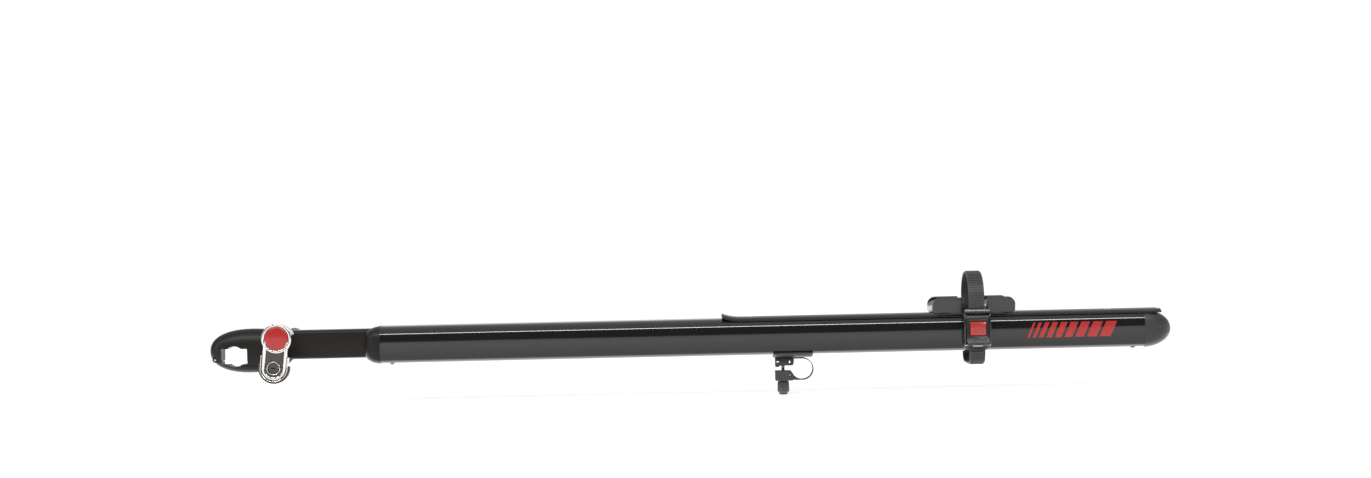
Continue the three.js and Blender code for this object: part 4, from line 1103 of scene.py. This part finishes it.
# ---------------------------------------------------------------- ratchet buckle
# A moulded frame with two cheeks carries a ratchet lever with a thumb lip. A red button in
# the lever frees the pawl. Steel cross pins hold lever and pawl.
buckle_low, buckle_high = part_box("buckle_frame")
base_out = buckle_high.y - buckle_wall
half = (buckle_high.x - buckle_low.x) / 2
front = buckle_low.y
chamfer = 0.006
back_plate = prism("back_plate", [
    (strap_x + a, b) for a, b in (
        (-half, buckle_low.z + chamfer), (-half + chamfer, buckle_low.z),
        (half - chamfer, buckle_low.z), (half, buckle_low.z + chamfer),
        (half, buckle_high.z - chamfer), (half - chamfer, buckle_high.z),
        (-half + chamfer, buckle_high.z), (-half, buckle_high.z - chamfer))],
    "Y", base_out, buckle_high.y, 0.0006)
cheek_line = [(buckle_high.y, buckle_low.z + 0.006), (front + 0.005, buckle_low.z + 0.006),
              (front, buckle_low.z + 0.014), (front, buckle_high.z - 0.012),
              (front + 0.001, buckle_high.z - 0.008), (front + 0.004, buckle_high.z - 0.0045),
              (buckle_high.y, buckle_high.z - 0.0035)]
cheeks = [prism("cheek", cheek_line, "X", strap_x + low, strap_x + low + buckle_wall, 0.0007)
          for low in (-half, half - buckle_wall)]
bridge = prism("bridge", [(base_out - 0.0095, buckle_high.z - 0.0065),
                          (base_out - 0.0068, buckle_high.z - 0.0065),
                          (base_out - 0.0055, buckle_high.z - 0.0008),
                          (base_out - 0.0078, buckle_high.z - 0.0008)],
               "X", strap_x - half + 0.0008, strap_x + half - 0.0008, 0.0006)
buckle = carved(back_plate, *cheeks, bridge, operation="UNION")
fit(buckle, "strap_station", "plastic", nylon, "buckle_frame")

ratchet_low, ratchet_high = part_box("ratchet_lever")
pin_low, pin_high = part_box("ratchet_pin")
pin_y, pin_z = (pin_low.y + pin_high.y) / 2, (pin_low.z + pin_high.z) / 2
button_low, button_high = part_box("release_button")
lever_half = (ratchet_high.x - ratchet_low.x) / 2
ratchet_line = round_about(pin_y, pin_z, 0.004, 0.004, 0, 180, 16) + [
    (pin_y - 0.0055, pin_z - 0.006), (pin_y - 0.006, pin_z - 0.024),
    (pin_y - 0.0078, pin_z - 0.031), (pin_y - 0.0095, pin_z - 0.0358),
    (pin_y - 0.0086, pin_z - 0.0382), (pin_y - 0.0068, pin_z - 0.0376),
    (pin_y - 0.0042, pin_z - 0.0325), (pin_y - 0.0016, pin_z - 0.028),
    (pin_y + 0.0038, pin_z - 0.0235), (pin_y + 0.004, pin_z - 0.004)]
ratchet = prism("thumb_lever", ratchet_line, "X", strap_x - lever_half, strap_x + lever_half,
                0.0009)
window_half = (button_high.x - button_low.x) / 2 + 0.0006
window = prism("window", [(strap_x + a, b + pin_z - 0.0145)
                          for a, b in rounded(window_half, 0.0105, 0.0008)], "Y", -0.09, 0)
ratchet = carved(ratchet, window)
lip_rib = prism("lip_rib", rounded(0.0005, 0.00035, 0.0002, 2), "X", -0.012, 0.012)
lip_ribs = grown("lip_ribs", row, nylon, Shape=lip_rib, Count=3,
                 Start=(strap_x, pin_y - 0.0072, pin_z - 0.0285), Step=(0, -0.0007, -0.0021))
fit(joined("thumb_lever_ribbed", [ratchet, lip_ribs]), "ratchet_lever", "plastic", nylon,
    "ratchet_lever")

button_line = [(button_high.y, button_high.z - 0.0004), (button_low.y + 0.0016, button_high.z),
               (button_low.y + 0.0004, button_high.z - 0.0016),
               (button_low.y, button_high.z - 0.0078), (button_low.y + 0.0006, button_low.z),
               (button_low.y + 0.004, button_low.z), (button_high.y, button_high.z - 0.004)]
button = prism("button", button_line, "X", button_low.x, button_high.x, 0.0008)
grip = prism("grip", rounded(0.00045, 0.0005, 0.0002, 2), "X", -0.0085, 0.0085)
grips = grown("grips", row, red, Shape=grip, Count=4,
              Start=(strap_x, button_low.y + 0.00035, button_low.z + 0.0025),
              Step=(0, -0.00011, 0.0022))
fit(joined("button_ribbed", [button, grips]), "release_button", "red_plastic", red,
    "release_button")

# ---------------------------------------------------------------- rear crossbar clamp
# A saddle, an upper and a lower block and a thin black band round the rear crossbar. A
# steel stud from a nut in the beam's slot runs down through them to a ribbed knob.
stud_low, stud_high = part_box("clamp_stud")
clamp_x = (stud_low.x + stud_high.x) / 2
saddle_low, saddle_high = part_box("saddle_plate")
saddle_share = -(saddle_high.z - beam_middle_z) / (half_height + 0.0015)
saddle_angle = math.degrees(math.asin(min(0.999, saddle_share) ** (squareness / 2)))
saddle_line = (outline(0.0032, 180 + saddle_angle, 360 - saddle_angle, 60)
               + outline(0.0003, 180 + saddle_angle, 360 - saddle_angle, 60)[::-1])
saddle = prism("saddle", saddle_line, "X", saddle_low.x, saddle_high.x, 0.0006)
fit(saddle, "clamp_carriage", "plastic", plastic, "saddle_plate")

band_low, band_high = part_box("clamp_band")
band_thick = 0.0012
loop_radius = (band_high.z - band_low.z) / 2
loop_x, loop_z = band_high.x - loop_radius, (band_high.z + band_low.z) / 2
upper_low, upper_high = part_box("upper_clamp_block")
lower_low, lower_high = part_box("lower_clamp_block")
bar_room = loop_radius - band_thick + gap


def bar_hole():
    return rod(bar_room, -0.05, 0.05, "Y", (loop_x, 0, loop_z), 72)


def window_of(points):
    return prism("window", [(clamp_x + a, b) for a, b in points], "Y", -0.05, 0.05)


jaw_z = upper_low.z + 0.0021
upper = prism("upper_block", [
    (clamp_x + a, b) for a, b in (
        (-0.011, upper_high.z), (-0.011, upper_low.z), (-0.0075, upper_low.z), (-0.004, jaw_z),
        (0.015, jaw_z), (0.015, upper_high.z))], "Y", upper_low.y, upper_high.y, 0.0007)
upper = carved(upper, bar_hole(), window_of([(0.0068, jaw_z + 0.0024), (0.0116, jaw_z + 0.0024),
                                             (0.0094, jaw_z + 0.0080)]),
               window_of([(-0.0095, jaw_z + 0.0035), (-0.0050, jaw_z + 0.0035),
                          (-0.0050, jaw_z + 0.0062), (-0.0095, jaw_z + 0.0062)]))
fit(upper, "clamp_carriage", "plastic", plastic, "upper_clamp_block")
lower = prism("lower_block", [
    (clamp_x - 0.0114, lower_high.z), (clamp_x - 0.0114, lower_low.z),
    (clamp_x + 0.0136, lower_low.z), (clamp_x + 0.0136, lower_high.z - 0.004),
    (clamp_x + 0.011, lower_high.z)], "Y", lower_low.y, lower_high.y, 0.0008)
lower = carved(lower, bar_hole(),
               rod(0.0013, -0.05, 0.05, "Y", (clamp_x + 0.0096, 0, lower_high.z - 0.0068), 32),
               rod(0.0029, -0.1, 0.0, "Z", (clamp_x, 0, 0), 40))
fit(lower, "lower_clamp_block", "plastic", plastic, "lower_clamp_block")

mid_radius = loop_radius - band_thick / 2
band_path = [(band_low.x, loop_z + mid_radius)] + round_about(
    loop_x, loop_z, mid_radius, mid_radius, 90, -90, 72) + [
    (clamp_x + 0.0165, loop_z - mid_radius)]
loop_band = swept("loop_band", band_path[::-1], rounded(band_thick / 2, band_high.y, 0.0004, 3))
tail_piece = prism("band_tail", [
    (clamp_x + 0.0137, lower_high.z - 0.0030), (clamp_x + 0.0205, lower_high.z - 0.0088),
    (clamp_x + 0.0262, band_low.z + 0.0022), (clamp_x + 0.0275, band_low.z + 0.0009),
    (clamp_x + 0.0262, band_low.z + 0.0003), (clamp_x + 0.0137, band_low.z + 0.0003)],
    "Y", -0.0085, 0.0085, 0.0004)
carved(tail_piece, bar_hole())
loop_band = joined("loop_band", [loop_band, tail_piece])
loop_band.data.materials.clear()
loop_band.data.materials.append(plastic)
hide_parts("clamp_band")
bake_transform(loop_band)

stud_radius = 0.0025
thread = [(0, stud_low.z), (stud_radius * 0.8, stud_low.z)]
while thread[-1][1] < -0.0185:
    crest = stud_radius if len(thread) % 2 else stud_radius - 0.0003
    thread.append((crest, thread[-1][1] + 0.0004))
stud_top = stud_high.z - 0.0032
thread += [(stud_radius, stud_top), (0, stud_top)]
stud = turned("threaded_stud", thread, "Z", (clamp_x, 0, 0), 32)
stud_head = turned("stud_head", [(0, stud_top - 0.0001), (0.0046, stud_top - 0.0001),
                                 (0.0050, stud_top + 0.0004), (0.0050, stud_high.z - 0.0004),
                                 (0.0046, stud_high.z), (0, stud_high.z)],
                   "Z", (clamp_x, 0, 0), 6)
fit(joined("stud", [stud, stud_head]), "clamp_carriage", "steel", steel, "clamp_stud")

knob_low, knob_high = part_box("clamp_knob")
knob_radius = (knob_high.x - knob_low.x) / 2
knob_core = knob_radius - 0.0009
knob_body = turned("knob_body", [
    (0.0029, knob_high.z), (knob_core - 0.0012, knob_high.z), (knob_core, knob_high.z - 0.0012),
    (knob_core, knob_low.z + 0.0055), (knob_core - 0.0006, knob_low.z + 0.0030),
    (knob_core - 0.0016, knob_low.z + 0.0010), (knob_core - 0.0028, knob_low.z),
    (0.0034, knob_low.z), (0.0030, knob_low.z + 0.0004), (0.0029, knob_high.z)],
    "Z", (clamp_x, 0, 0), 72)
knob_rib = prism("knob_rib", rounded(0.0010, 0.0010, 0.0007, 3), "Z",
                 knob_low.z + 0.0035, knob_high.z - 0.0016, 0.0005)
knob_ribs = grown("knob_ribs", ring, plastic, Shape=knob_rib, Count=14,
                  Radius=knob_radius - 0.0012, Centre=(clamp_x, 0, 0), Lean=(0, 0, 0))
fit(joined("ribbed_knob", [knob_body, knob_ribs]), "clamp_knob", "plastic", plastic, "clamp_knob")

# ---------------------------------------------------------------- small pins and nut
# Six pins, a rivet, a screw, the pawl and the slide nut. Plain turned and cut shapes that
# sit almost out of sight. Zinc plated steel.
for node in ("jaw_hinge_pin", "head_cross_pin", "cam_pin", "keeper_screw", "buckle_rivet",
             "ratchet_pin", "pawl_pin", "button_pin", "holding_pawl", "slide_nut"):
    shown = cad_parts[node].data
    shown.materials.clear()
    shown.materials.append(steel)
